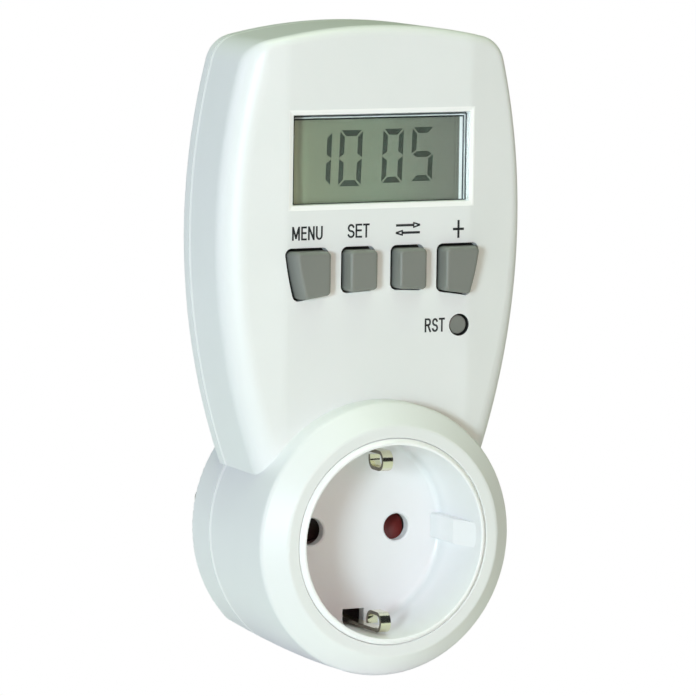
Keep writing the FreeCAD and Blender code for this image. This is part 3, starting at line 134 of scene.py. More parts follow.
lit_point = Vector((0, -0.03, 0.04))
lamp_distance = 1.6


def soft_lamp(name, azimuth, elevation, size, watts, colour):
    """Flat lamp that faces the timer, its place given by two angles in degrees."""
    lamp = bpy.data.lights.new(name, "AREA")
    lamp.shape = "RECTANGLE"
    lamp.size, lamp.size_y = size
    lamp.energy = watts
    lamp.color = colour
    holder = bpy.data.objects.new(name, lamp)
    scene.collection.objects.link(holder)
    a, e = math.radians(azimuth), math.radians(elevation)
    away = Vector((math.sin(a) * math.cos(e), -math.cos(a) * math.cos(e), math.sin(e)))
    holder.location = lit_point + away * lamp_distance
    holder.rotation_euler = away.to_track_quat("Z", "Y").to_euler()


soft_lamp("left_lamp", -44, 5, (0.3, 0.3), 15.8, (0.71, 0.865, 0.93))
soft_lamp("far_left_lamp", -105, 12, (0.6, 0.9), 3.7, (0.75, 0.6, 1.0))
soft_lamp("front_lamp", -10, 12, (0.9, 0.9), 4.4, (1.0, 0.42, 0.4))
soft_lamp("high_lamp", 0, 50, (0.9, 0.9), 4.0, (0.8, 0.97, 0.86))
soft_lamp("top_lamp", 0, 85, (1.2, 0.8), 13, (0.81, 1.0, 0.66))


# Front housing and rear cover: the two halves of the case, injection moulded in white plastic with
# a fine satin surface and joined by four screws from the back. A painted highlight makes their seam
# and the rim of the window a little brighter, and painted shade makes the wall of the hole round the
# reset key dark.
colour_socket = "NodeSocketColor"
value_socket = "NodeSocketFloat"
vector_socket = "NodeSocketVector"
surface_outputs = [("Colour", colour_socket), ("Roughness", value_socket), ("Normal", vector_socket)]


def new_group(name, inputs, outputs):
    """Empty shader node group, with the sockets that bring its values in and its results out."""
    group = bpy.data.node_groups.new(name, "ShaderNodeTree")
    for label, kind in inputs:
        group.interface.new_socket(label, in_out="INPUT", socket_type=kind)
    for label, kind in outputs:
        group.interface.new_socket(label, in_out="OUTPUT", socket_type=kind)
    return group, group.nodes.new("NodeGroupInput").outputs, group.nodes.new("NodeGroupOutput").inputs


def feed(tree, socket, source):
    """Feed a socket from another one, or set it to a plain value."""
    if isinstance(source, bpy.types.NodeSocket):
        tree.links.new(source, socket)
    else:
        socket.default_value = source


def place_on_timer(tree):
    """Where a point of a surface lies in the timer's own frame."""
    return tree.nodes.new("ShaderNodeTexCoord").outputs["Object"]


def reckon(tree, operation, *terms):
    """Result of one sum over sockets and plain numbers."""
    node = tree.nodes.new("ShaderNodeMath")
    node.operation = operation
    for socket, term in zip(node.inputs, terms):
        feed(tree, socket, term)
    return node.outputs["Value"]


def share_between(tree, value, start, end):
    """How far a value is on its way from a start to an end, held between 0 and 1."""
    node = tree.nodes.new("ShaderNodeMapRange")
    feed(tree, node.inputs["Value"], value)
    feed(tree, node.inputs["From Min"], start)
    feed(tree, node.inputs["From Max"], end)
    return node.outputs["Result"]


def mottle(tree, place, scale, detail):
    """Uneven patches or grain, from 0 to 1."""
    node = tree.nodes.new("ShaderNodeTexNoise")
    node.inputs["Detail"].default_value = detail
    feed(tree, node.inputs["Vector"], place)
    feed(tree, node.inputs["Scale"], scale)
    return node.outputs["Fac"]


def two_tone(tree, share, first, second, blend="MIX"):
    """Colour that goes from a first one to a second one as a share rises from 0 to 1."""
    node = tree.nodes.new("ShaderNodeMixRGB")
    node.blend_type = blend
    feed(tree, node.inputs["Fac"], share)
    feed(tree, node.inputs["Color1"], first)
    feed(tree, node.inputs["Color2"], second)
    return node.outputs["Color"]


def relief(tree, height, strength, depth):
    """Normal of a fine relief."""
    node = tree.nodes.new("ShaderNodeBump")
    node.inputs["Strength"].default_value = strength
    feed(tree, node.inputs["Height"], height)
    feed(tree, node.inputs["Distance"], depth)
    return node.outputs["Normal"]


def moulded_surface():
    """Moulded plastic: faint clouds of a second colour, uneven gloss and a fine grain."""
    group, given, result = new_group("moulded_surface", [
        ("Colour", colour_socket), ("Cloud Colour", colour_socket), ("Clouds", value_socket),
        ("Grain", value_socket), ("Grain Depth", value_socket), ("Dull", value_socket),
        ("Uneven", value_socket),
    ], surface_outputs)
    place = place_on_timer(group)
    cloud = share_between(group, mottle(group, place, given["Clouds"], 3.0), 0.35, 0.65)
    grain = mottle(group, place, given["Grain"], 2.0)
    feed(group, result["Colour"], two_tone(group, cloud, given["Colour"], given["Cloud Colour"]))
    feed(group, result["Roughness"], reckon(group, "MULTIPLY_ADD", cloud, given["Uneven"], given["Dull"]))
    feed(group, result["Normal"], relief(group, grain, 0.6, given["Grain Depth"]))
    return group


moulded = moulded_surface()
coat_dull = 0.06


def placed(tree, group, values):
    """Outputs of a shared group that is placed in a material with its own values."""
    node = tree.nodes.new("ShaderNodeGroup")
    node.node_tree = group
    for label, value in values.items():
        node.inputs[label].default_value = value
    return node.outputs


def surfaced(name, group, values, metallic=0.0, coat=0.0):
    """Material whose colour, gloss and relief come from one of the surface groups."""
    material, tree, shader = new_material(name)
    shader.inputs["Metallic"].default_value = metallic
    shader.inputs["Coat Weight"].default_value = coat
    shader.inputs["Coat Roughness"].default_value = coat_dull
    surface = placed(tree, group, values)
    feed(tree, shader.inputs["Base Color"], surface["Colour"])
    feed(tree, shader.inputs["Roughness"], surface["Roughness"])
    feed(tree, shader.inputs["Normal"], surface["Normal"])
    return material


def plastic(name, colour, cloud, dull=0.4, grain=2600, depth=0.00001, coat=0.0):
    """Moulded plastic of one colour with faint clouds of another."""
    values = {"Colour": (*colour, 1), "Cloud Colour": (*cloud, 1), "Clouds": 45, "Grain": grain,
              "Grain Depth": depth, "Dull": dull, "Uneven": 0.08}
    return surfaced(name, moulded, values, coat=coat)


def masked(material, mask, colour):
    """Lay another colour over a material's base colour, as far as a mask goes from 0 to 1."""
    tree = material.node_tree
    base = tree.nodes["Principled BSDF"].inputs["Base Color"]
    feed(tree, base, two_tone(tree, mask, base.links[0].from_socket, (*colour, 1)))
    return material


def dress(material, *names):
    """Give a material to whole nodes of the frame."""
    for name in names:
        for slot in nodes[name].material_slots:
            slot.material = material


def frame_mask():
    """Band along the edge of an upright rectangle, in front of a limit: 1 in the band, else 0."""
    group, given, result = new_group("frame_mask", [
        ("Centre X", value_socket), ("Centre Z", value_socket), ("Half Width", value_socket),
        ("Half Height", value_socket), ("Half Band", value_socket), ("Back Limit", value_socket),
    ], [("Mask", value_socket)])
    split = group.nodes.new("ShaderNodeSeparateXYZ")
    feed(group, split.inputs["Vector"], place_on_timer(group))
    beyond = []
    for axis, centre, half in (("X", "Centre X", "Half Width"), ("Z", "Centre Z", "Half Height")):
        offset = reckon(group, "SUBTRACT", split.outputs[axis], given[centre])
        beyond.append(reckon(group, "SUBTRACT", reckon(group, "ABSOLUTE", offset), given[half]))
    inside = reckon(group, "COMPARE", reckon(group, "MAXIMUM", *beyond), 0.0, given["Half Band"])
    before = reckon(group, "LESS_THAN", split.outputs["Y"], given["Back Limit"])
    feed(group, result["Mask"], reckon(group, "MULTIPLY", inside, before))
    return group


window_frame = frame_mask()
lens_low, lens_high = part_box("window_lens")
lens_flange = 0.0010
opening = (lens_low[0] + lens_flange, lens_high[0] - lens_flange,
           lens_low[2] + lens_flange, lens_high[2] - lens_flange)
no_limit = 1.0


def framed(material, insets, half_band, colour, back_limit=no_limit):
    """Lay a band of another colour round the window over a base colour.

    The insets say how far inside the opening its middle runs at the left, right, bottom and top.
    """
    low_x, high_x = opening[0] + insets[0], opening[1] - insets[1]
    low_z, high_z = opening[2] + insets[2], opening[3] - insets[3]
    values = {"Centre X": (low_x + high_x) / 2, "Centre Z": (low_z + high_z) / 2,
              "Half Width": (high_x - low_x) / 2, "Half Height": (high_z - low_z) / 2,
              "Half Band": half_band, "Back Limit": back_limit}
    return masked(material, placed(material.node_tree, window_frame, values)["Mask"], colour)


def place_along(tree, direction):
    """How far a place on the timer lies along a direction."""
    node = tree.nodes.new("ShaderNodeVectorMath")
    node.operation = "DOT_PRODUCT"
    feed(tree, node.inputs[0], place_on_timer(tree))
    feed(tree, node.inputs[1], direction)
    return node.outputs["Value"]


def band_mask():
    """Even band all round a piece, across one direction: 1 in the band, else 0."""
    group, given, result = new_group("band_mask", [
        ("Along", vector_socket), ("Centre", value_socket), ("Half Width", value_socket),
    ], [("Mask", value_socket)])
    place = place_along(group, given["Along"])
    feed(group, result["Mask"], reckon(group, "COMPARE", place, given["Centre"], given["Half Width"]))
    return group


round_band = band_mask()
across_timer = (1, 0, 0)
through_timer = (0, 1, 0)


def band_at(tree, along, centre, half_width):
    """Mask of one even band in a material."""
    return placed(tree, round_band, {"Along": along, "Centre": centre, "Half Width": half_width})["Mask"]


def painted_hole_shade(tree, x, z, radius, front, depth):
    """Mask of the wall of a round hole through the panel, down to a depth, where shade is painted."""
    flat = tree.nodes.new("ShaderNodeVectorMath")
    flat.operation = "MULTIPLY"
    flat.inputs[1].default_value = (1, 0, 1)
    feed(tree, flat.inputs[0], place_on_timer(tree))
    reach = tree.nodes.new("ShaderNodeVectorMath")
    reach.operation = "DISTANCE"
    reach.inputs[1].default_value = (x, 0, z)
    feed(tree, reach.inputs[0], flat.outputs["Vector"])
    near = reckon(tree, "LESS_THAN", reach.outputs["Value"], radius)
    return reckon(tree, "MULTIPLY", near, band_at(tree, through_timer, front + depth / 2, depth / 2))


white_case = plastic("white_case", (0.83, 0.845, 0.845), (0.81, 0.83, 0.825), dull=0.36)
# Painted highlight: a brighter band round the rim of the window, in front of the lens's back.
rim_highlight_half = 0.0005
rim_highlight_back = lens_low[1] + 0.0002
framed(white_case, (-rim_highlight_half, -rim_highlight_half, -rim_highlight_half, -rim_highlight_half), rim_highlight_half, (0.97, 0.975, 0.97), rim_highlight_back)
# Painted highlight: a brighter band along the seam between the two halves.
seam_y = -0.0251
seam_highlight_half = 0.00045
masked(white_case, band_at(white_case.node_tree, through_timer, seam_y, seam_highlight_half), (0.985, 0.99, 0.985))
reset_low, reset_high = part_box("reset_key")
hole_x = (reset_low[0] + reset_high[0]) / 2
hole_z = (reset_low[2] + reset_high[2]) / 2
hole_radius = 0.0024
hole_front = lens_low[1] - 0.00022
hole_depth = 0.003
# Painted shade: the wall of the hole round the reset key is coloured nearly black.
hole = painted_hole_shade(white_case.node_tree, hole_x, hole_z, hole_radius, hole_front, hole_depth)
masked(white_case, hole, (0.03, 0.03, 0.03))
dress(white_case, "front_housing", "rear_cover")


# Printed labels: dark grey pad print on the panel, 0.02 mm proud of it, in thin condensed capitals
# for three plain functions, with a pair of arrows and a plus for the other two keys.
def housing_piece(name, mesh, material):
    """Piece of the scene from a finished mesh, fixed to the housing."""
    data = bpy.data.meshes.new(name)
    mesh.to_mesh(data)
    mesh.free()
    data.materials.append(material)
    piece = bpy.data.objects.new(name, data)
    scene.collection.objects.link(piece)
    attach(piece, "housing")
    return piece


def flat_piece(name, outlines, y, material):
    """Thin flat piece that faces the front, made of filled outlines in the XZ plane."""
    mesh = bmesh.new()
    for outline in outlines:
        face = mesh.faces.new([mesh.verts.new((x, y, z)) for x, z in outline])
        face.normal_update()
        if face.normal.y > 0:
            face.normal_flip()
    return housing_piece(name, mesh, material)


mitre_limit = 0.75


def stroke(points, width):
    """Ribbon of even width along a run of points, mitred at its corners, as four-cornered faces."""
    left_side = []
    right_side = []
    for index, (x, z) in enumerate(points):
        before = points[max(index - 1, 0)]
        after = points[min(index + 1, len(points) - 1)]
        first = Vector((x - before[0], z - before[1])) if index else Vector((after[0] - x, after[1] - z))
        last = Vector((after[0] - x, after[1] - z)) if index + 1 < len(points) else first
        first.normalize()
        last.normalize()
        along = (first + last).normalized()
        across = Vector((-along.y, along.x))
        reach = width / 2 / max(across.dot(Vector((-first.y, first.x))), mitre_limit)
        left_side.append((x + across.x * reach, z + across.y * reach))
        right_side.append((x - across.x * reach, z - across.y * reach))
    return [[left_side[i], left_side[i + 1], right_side[i + 1], right_side[i]]
            for i in range(len(points) - 1)]


def bow(centre, radii, start, end, steps=10):
    """Points of an ellipse's arc, angles in degrees from +X."""
    angles = [math.radians(start + (end - start) * step / steps) for step in range(steps + 1)]
    return [(centre[0] + radii[0] * math.cos(a), centre[1] + radii[1] * math.sin(a)) for a in angles]


letters = {
    "M": [[(0, 0), (0, 1)], [(0.04, 0.98), (0.5, 0.14)], [(0.5, 0.14), (0.96, 0.98)], [(1, 0), (1, 1)]],
    "E": [[(1, 1), (0, 1), (0, 0), (1, 0)], [(0, 0.53), (0.92, 0.53)]],
    "N": [[(0, 0), (0, 1)], [(0.06, 0.96), (0.94, 0.04)], [(1, 0), (1, 1)]],
    "U": [[(0, 1)] + bow((0.5, 0.3), (0.5, 0.3), 180, 360) + [(1, 1)]],
    "S": [bow((0.5, 0.745), (0.46, 0.255), 20, 270) + bow((0.5, 0.25), (0.5, 0.25), 90, -160)[1:]],
    "T": [[(0, 1), (1, 1)], [(0.5, 1), (0.5, 0)]],
    "R": [[(0, 0), (0, 1)] + bow((0.6, 0.755), (0.36, 0.245), 90, -90) + [(0, 0.51)],
          [(0.52, 0.51), (1, 0)]],
}
print_stroke = 0.00039
sign_stroke = 0.00048
head_stroke = sign_stroke * 0.75


def squared(points):
    """The same run of points with both ends drawn out by half a stroke."""
    first, second, before, last = (Vector(points[index]) for index in (0, 1, -2, -1))
    start = first + (first - second).normalized() * print_stroke / 2
    end = last + (last - before).normalized() * print_stroke / 2
    return [tuple(start)] + points[1:-1] + [tuple(end)]


def word(text, x, z, widths, gap):
    """Strokes of a word between two X limits and two Z limits, with each letter's share of the width."""
    unit = (x[1] - x[0] - gap * (len(text) - 1)) / sum(widths)
    start = x[0]
    low = z[0] + print_stroke / 2
    high = z[1] - print_stroke / 2
    outlines = []
    for letter, width in zip(text, widths):
        span = width * unit - print_stroke
        for run in letters[letter]:
            points = [(start + print_stroke / 2 + a * span, low + b * (high - low)) for a, b in run]
            outlines += stroke(squared(points), print_stroke)
        start += width * unit + gap
    return outlines


def arrow(x, z, direction, half_head, head):
    """Shaft with a slim open head that points left or right."""
    tail, tip = (x[0], x[1]) if direction > 0 else (x[1], x[0])
    neck = tip - direction * head
    outlines = stroke([(tail, z), (neck, z)], sign_stroke)
    for side in (half_head, -half_head):
        outlines += stroke([(neck, z), (neck, z + side), (tip, z)], head_stroke)
    return outlines


lens_recess = 0.0003
panel_front = lens_low[1] - lens_recess
print_lift = 0.00002
print_ink = plastic("grey_print", (0.014, 0.017, 0.02), (0.022, 0.026, 0.03), dull=0.55, depth=0.000004)
arrow_reach = (0.00371, 0.00906)
labels = {
    "menu_label": word("MENU", (-0.0192, -0.01247), (0.05985, 0.0626), (1.76, 1.27, 1.49, 1.54), 0.00026),
    "set_label": word("SET", (-0.00703, -0.00214), (0.0600, 0.0628), (1.49, 1.38, 1.38), 0.00017),
    "reset_label": word("RST", (0.01044, 0.01497), (0.04055, 0.04335), (1.45, 1.4, 1.35), 0.00017),
    "arrows_label": (arrow(arrow_reach, 0.0622, 1, 0.00043, 0.0014)
                     + arrow(arrow_reach, 0.0607, -1, 0.00043, 0.0014)),
    "plus_label": (stroke([(0.01646, 0.0611), (0.01893, 0.0611)], sign_stroke)
                   + stroke([(0.0177, 0.0593), (0.0177, 0.0629)], sign_stroke)),
}
for name, outlines in labels.items():
    flat_piece(name, outlines, panel_front - print_lift, print_ink)


# Window lens: a clear acrylic block glued behind the panel, polished on all sides. Light for the
# parts behind it goes straight through. Two dark lines in its colour at the right and the top are
# painted reflections of its polished edges.
def clear_acrylic():
    material, tree, shader = new_material("clear_acrylic")
    shader.inputs["Roughness"].default_value = 0.03
    shader.inputs["IOR"].default_value = 1.49
    shader.inputs["Transmission Weight"].default_value = 1.0
    haze = mottle(tree, place_on_timer(tree), 160.0, 2.0)
    tint = two_tone(tree, haze, (0.97, 0.98, 0.97, 1), (0.94, 0.96, 0.95, 1))
    feed(tree, shader.inputs["Base Color"], tint)
    through = tree.nodes.new("ShaderNodeBsdfTransparent")
    through.inputs["Color"].default_value = (0.95, 0.96, 0.95, 1)
    by_ray(tree, "Is Shadow Ray", shader, through)
    return material


lens_acrylic = clear_acrylic()
lens_front = lens_low[1] + 0.0001
# Painted reflections: two dark lines along the lens's right and top edges.
framed(lens_acrylic, (0.00002, 0.00087, 0.00026, 0.0003), 0.00015, (0.006, 0.007, 0.01), lens_front)
framed(lens_acrylic, (-0.002, 0.0015, -0.002, 0.00087), 0.00016, (0.01, 0.012, 0.016), lens_front)
dress(lens_acrylic, "window_lens")


# Display: two sheets of glass with a grey-green reflector behind them, and the dark seven-part
# digits of the clock, which show the plain time 10 05. The glass rests on two rubber strips.
def run_share():
    """Way of a place from a start to an end along one direction: 0 at the start, 1 at the end."""
    group, given, result = new_group("run_share", [
        ("Along", vector_socket), ("Start", value_socket), ("End", value_socket),
    ], [("Share", value_socket)])
    place = place_along(group, given["Along"])
    feed(group, result["Share"], share_between(group, place, given["Start"], given["End"]))
    return group


run = run_share()


def run_between(tree, along, start, end):
    """Share of the way between two places in a material."""
    return placed(tree, run, {"Along": along, "Start": start, "End": end})["Share"]


def shade_ramp(tree, share, shades):
    """Colour that runs through several shades, each with its place from 0 to 1."""
    node = tree.nodes.new("ShaderNodeValToRGB")
    stops = node.color_ramp.elements
    for stop, (place, shade) in zip((stops[0], stops[1]), (shades[0], shades[-1])):
        stop.position = place
        stop.color = (*shade, 1)
    for place, shade in shades[1:-1]:
        stops.new(place).color = (*shade, 1)
    feed(tree, node.inputs["Fac"], share)
    return node.outputs["Color"]


reflector_half = 0.019
# Colours across the reflector from left to right: it turns darker towards the right, and its left end is
# painted light, a brighter strip that cancels the shadow the window's left wall casts on it.
reflector_tones_and_painted_light = (
    (0.02, (0.5, 0.56, 0.375)), (0.045, (0.46, 0.52, 0.345)), (0.062, (0.30, 0.34, 0.225)),
    (0.12, (0.215, 0.24, 0.16)), (0.55, (0.198, 0.235, 0.168)), (0.85, (0.165, 0.18, 0.142)),
    (1.0, (0.145, 0.15, 0.122)))


def display_reflector():
    material, tree, shader = new_material("display_reflector")
    shader.inputs["Roughness"].default_value = 0.35
    across = run_between(tree, across_timer, -reflector_half, reflector_half)
    speck = mottle(tree, place_on_timer(tree), 5200.0, 2.0)
    shades = shade_ramp(tree, across, reflector_tones_and_painted_light)
    flecked = two_tone(tree, speck, shades, (0.84, 0.85, 0.84, 1), "MULTIPLY")
    feed(tree, shader.inputs["Base Color"], flecked)
    feed(tree, shader.inputs["Normal"], relief(tree, speck, 0.25, 0.000004))
    return material


reflector = display_reflector()
framed(reflector, (-0.002, -0.0002, -0.0015, -0.00065), 0.0015, (0.78, 0.8, 0.79))
dress(reflector, "display_glass")
digit_lift = 0.00003
digit_thick = 0.0012
digit_gap = 0.00028
digit_hook = 0.62
digit_lean = math.tan(math.radians(2.1))
lit_parts = {"0": "abcdef", "1": "bc", "5": "acdfg"}


def digit(figure, x, z):
    """Lit parts of one seven-part digit between its X and Z limits, slightly slanted."""
    w = x[1] - x[0]
    h = z[1] - z[0]
    t = digit_thick
    g = digit_gap / 2
    half = h / 2
    hook = digit_hook * t
    upright = [(0, half + g), (0, h - 2 * g), (t - g, h - t - g), (t - g, half + hook + g)]
    low_upright = [(a, h - b) for a, b in upright]
    level = [(2 * g, h), (w - 2 * g, h), (w - t - g, h - t), (t + g, h - t)]
    middle = [(2 * g, half), (t, half + t / 2), (w - t, half + t / 2), (w - 2 * g, half),
              (w - t, half - t / 2), (t, half - t / 2)]
    shapes = {
        "a": level, "d": [(a, h - b) for a, b in level], "f": upright, "e": low_upright,
        "b": [(w - a, b) for a, b in upright], "c": [(w - a, b) for a, b in low_upright], "g": middle,
    }
    return [[(x[0] + a + (b - half) * digit_lean, z[0] + b) for a, b in shapes[part]]
            for part in lit_parts[figure]]


digit_ink = plastic("display_ink", (0.012, 0.028, 0.018), (0.02, 0.038, 0.027), dull=0.4, depth=0.000002)
glass_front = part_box("display_glass")[0][1]
digit_outlines = (digit("1", (-0.0149, -0.0097), (0.0702, 0.0811))
                  + digit("0", (-0.00795, -0.00293), (0.0701, 0.08125))
                  + digit("0", (0.00159, 0.00617), (0.07054, 0.08132))
                  + digit("5", (0.00808, 0.0129), (0.07071, 0.08153)))
flat_piece("display_digits", digit_outlines, glass_front - digit_lift, digit_ink)
dress(plastic("white_frame", (0.8, 0.82, 0.81), (0.76, 0.78, 0.77), dull=0.3), "display_holder")


def even_bands():
    """Fine even bands of a second colour across one direction, with relief where they cross it."""
    group, given, result = new_group("even_bands", [
        ("Colour", colour_socket), ("Band Colour", colour_socket), ("Across", vector_socket),
        ("Relief", value_socket), ("Dull", value_socket), ("Uneven", value_socket),
    ], surface_outputs)
    wave = reckon(group, "SINE", place_along(group, given["Across"]))
    band = share_between(group, wave, -1.0, 1.0)
    feed(group, result["Colour"], two_tone(group, band, given["Band Colour"], given["Colour"]))
    feed(group, result["Roughness"], reckon(group, "MULTIPLY_ADD", band, given["Uneven"], given["Dull"]))
    feed(group, result["Normal"], relief(group, band, 1.0, given["Relief"]))
    return group


bands = even_bands()


def banded(name, colour, band_colour, axis, pitch, dull, depth=0.00001):
    """Rubber, cable or winding with even bands that follow each other along an axis."""
    turns = 2 * math.pi / pitch
    values = {"Colour": (*colour, 1), "Band Colour": (*band_colour, 1),
              "Across": [turns * part for part in axis], "Relief": depth, "Dull": dull, "Uneven": 0.05}
    return surfaced(name, bands, values)


rubber_pitch = 0.0002
dress(banded("striped_rubber", (0.25, 0.24, 0.22), (0.03, 0.03, 0.03), across_timer, rubber_pitch, 0.6),
      "zebra_strips")


# Keys: caps moulded in mid grey plastic with a fine matt grain, each with a flange behind the
# panel. They stand on the silicone mat, whose domes press them back. Painted shade darkens each
# key down into its hole.
def key_with_painted_shade(name, surface, deep, shade):
    """Key plastic with painted shade that darkens it down into its hole, between two depths behind the
    panel's front.
    """
    material = plastic(name, (0.215, 0.225, 0.205), (0.2, 0.21, 0.192), dull=0.42, grain=3200, depth=0.000012)
    tree = material.node_tree
    base = tree.nodes["Principled BSDF"].inputs["Base Color"]
    plain = base.links[0].from_socket
    fall = run_between(tree, through_timer, panel_front + surface, panel_front + deep)
    shades = shade_ramp(tree, fall, (
        (0.0, (1, 1, 1)), (0.86, (shade, shade, shade * 1.04)), (1.0, (0.02, 0.02, 0.02))))
    feed(tree, base, two_tone(tree, 1.0, plain, shades, "MULTIPLY"))
    return material


# Painted shade on the four keys and the reset key, darkest at the back of their holes.
dress(key_with_painted_shade("grey_key", -0.0026, 0.0004, 0.62), "menu_key", "set_key", "arrow_key", "plus_key")
dress(key_with_painted_shade("grey_reset_key", 0.0007, 0.0012, 0.8), "reset_key")


# Keypad mat: one pale silicone sheet, 1 mm thick, on the logic board, with a hollow dome 3.8 mm high
# under each key. In the timer a dome gives way when its key is pressed and pushes it back; here the
# domes are built at rest.
pale_silicone = plastic("pale_silicone", (0.55, 0.58, 0.55), (0.5, 0.53, 0.5), dull=0.65)
mat_low, mat_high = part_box("keypad_mat")
sheet_thick = 0.001
sheet_front = mat_high[1] - sheet_thick


def silicone_piece(name, rings):
    """Closed piece through rings of points, the first and the last of them filled."""
    mesh = bmesh.new()
    loops = [[mesh.verts.new(point) for point in points] for points in rings]
    for one, other in zip(loops, loops[1:]):
        for index in range(len(one)):
            after = (index + 1) % len(one)
            mesh.faces.new([one[index], one[after], other[after], other[index]])
    mesh.faces.new(loops[0])
    mesh.faces.new(loops[-1])
    bmesh.ops.recalc_face_normals(mesh, faces=mesh.faces)
    return housing_piece(name, mesh, pale_silicone)


sheet_drop = 0.0031
sheet_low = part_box("set_key")[0][2] - sheet_drop
tab_margin = 0.0004
tab_left, tab_right = reset_low[0] - tab_margin, reset_high[0] + tab_margin
sheet_outline = [
    (mat_low[0], mat_high[2]), (mat_low[0], sheet_low), (tab_left, sheet_low), (tab_left, mat_low[2]),
    (tab_right, mat_low[2]), (tab_right, sheet_low), (mat_high[0], sheet_low), (mat_high[0], mat_high[2])]
sheet_rings = [[(x, y, z) for x, z in sheet_outline] for y in (sheet_front, mat_high[1])]
sheet = silicone_piece("keypad_sheet", sheet_rings)
rounding = sheet.modifiers.new("rounded_edges", "BEVEL")
rounding.width = 0.0002
rounding.segments = 2
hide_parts("keypad_mat")

dome_top = mat_low[1]
dome_edge = 0.0003
dome_roof = 0.001
dome_profile = (
    (0.0015, dome_top), (0.0018, dome_top + dome_edge), (0.0026, sheet_front),
    (0.002, sheet_front), (0.0012, dome_top + dome_roof))
dome_steps = 40


def dome_ring(x, z, radius, y):
    """Points round the middle of a key, at a radius and a place from front to back."""
    angles = [2 * math.pi * step / dome_steps for step in range(dome_steps)]
    return [(x + radius * math.cos(a), y, z + radius * math.sin(a)) for a in angles]


for key, travel in (("menu", 0.001), ("set", 0.001), ("arrow", 0.001), ("plus", 0.001), ("reset", 0.0008)):
    key_low, key_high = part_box(key + "_key")
    x = (key_low[0] + key_high[0]) / 2
    z = (key_low[2] + key_high[2]) / 2
    dome = silicone_piece(key + "_dome", [dome_ring(x, z, radius, y) for radius, y in dome_profile])
    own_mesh(dome)


# Circuit boards: glass laminate with green lacquer over the copper tracks. The logic board is
# screwed to four posts behind the panel, the power board to the rear cover.
def lacquered_board():
    material, tree, shader = new_material("green_board")
    shader.inputs["Roughness"].default_value = 0.3
    turned = tree.nodes.new("ShaderNodeMapping")
    turned.inputs["Rotation"].default_value = (math.radians(90), 0, 0)
    feed(tree, turned.inputs["Vector"], place_on_timer(tree))
    tracks = tree.nodes.new("ShaderNodeTexBrick")
    tracks.inputs["Color1"].default_value = (0.05, 0.26, 0.1, 1)
    tracks.inputs["Color2"].default_value = (0.04, 0.22, 0.085, 1)
    tracks.inputs["Mortar"].default_value = (0.02, 0.13, 0.05, 1)
    tracks.inputs["Scale"].default_value = 220.0
    tracks.inputs["Mortar Size"].default_value = 0.06
    feed(tree, tracks.inputs["Vector"], turned.outputs["Vector"])
    feed(tree, shader.inputs["Base Color"], tracks.outputs["Color"])
    feed(tree, shader.inputs["Normal"], relief(tree, tracks.outputs["Fac"], 1.0, 0.00003))
    return material


dress(lacquered_board(), "logic_board", "power_board")


# Metal parts: rolled strip, turned pins and drawn wire, with fine lines along the working
# direction. The plug's and the socket's contacts are nickel plated, the inner strips bare brass.
def worked_metal():
    """Rolled or turned metal: fine lines, slightly uneven gloss and patches of a duller colour."""
    group, given, result = new_group("worked_metal", [
        ("Colour", colour_socket), ("Dull Colour", colour_socket), ("Patches", value_socket),
        ("Lines", value_socket), ("Line Depth", value_socket), ("Dull", value_socket),
        ("Uneven", value_socket),
    ], surface_outputs)
    place = place_on_timer(group)
    patch = mottle(group, place, given["Patches"], 4.0)
    drawn = group.nodes.new("ShaderNodeMapping")
    drawn.inputs["Scale"].default_value = (1.0, 0.06, 1.0)
    feed(group, drawn.inputs["Vector"], place)
    lines = mottle(group, drawn.outputs["Vector"], given["Lines"], 3.0)
    feed(group, result["Colour"], two_tone(group, patch, given["Colour"], given["Dull Colour"]))
    feed(group, result["Roughness"], reckon(group, "MULTIPLY_ADD", lines, given["Uneven"], given["Dull"]))
    feed(group, result["Normal"], relief(group, lines, 0.4, given["Line Depth"]))
    return group


worked = worked_metal()


def metal(name, colour, dull_colour, dull=0.2, lines=3000, depth=0.000006):
    """Plated or bare metal of one colour with patches of a duller one."""
    values = {"Colour": (*colour, 1), "Dull Colour": (*dull_colour, 1), "Patches": 260, "Lines": lines,
              "Line Depth": depth, "Dull": dull, "Uneven": 0.12}
    return surfaced(name, worked, values, metallic=1.0)


cut_dull = 0.5


def cut_edges(material, colour):
    """Darker and duller metal on the faces across X, where a strip is punched out of the sheet."""
    tree = material.node_tree
    roughness = tree.nodes["Principled BSDF"].inputs["Roughness"]
    split = tree.nodes.new("ShaderNodeSeparateXYZ")
    feed(tree, split.inputs["Vector"], tree.nodes.new("ShaderNodeTexCoord").outputs["Normal"])
    edge = share_between(tree, reckon(tree, "ABSOLUTE", split.outputs["X"]), 0.85, 0.95)
    feed(tree, roughness, reckon(tree, "MULTIPLY_ADD", edge, cut_dull, roughness.links[0].from_socket))
    return masked(material, edge, colour)


nickel_strip = metal("nickel_strip", (0.88, 0.86, 0.7), (0.78, 0.75, 0.58), dull=0.08)
dress(cut_edges(nickel_strip, (0.26, 0.235, 0.2)), "earth_clip", "earth_strap")
dress(metal("nickel_plate", (0.8, 0.79, 0.74), (0.7, 0.69, 0.63), dull=0.12),
      "earth_post", "live_pin", "neutral_pin")
dress(metal("bare_brass", (0.78, 0.58, 0.27), (0.68, 0.48, 0.2), dull=0.2),
      "live_contact", "neutral_contact", "neutral_bar", "live_tab", "relay_terminal")
dress(metal("zinc_plate", (0.66, 0.67, 0.68), (0.56, 0.57, 0.57), dull=0.28),
      "cover_screws", "carrier_screws", "logic_board_screws", "power_board_screws")
dress(metal("spring_steel", (0.55, 0.55, 0.56), (0.45, 0.45, 0.46), dull=0.25), "shutter_spring")
dress(metal("bright_can", (0.72, 0.72, 0.71), (0.64, 0.64, 0.63), dull=0.18),
      "crystal", "backup_battery", "battery_tabs")
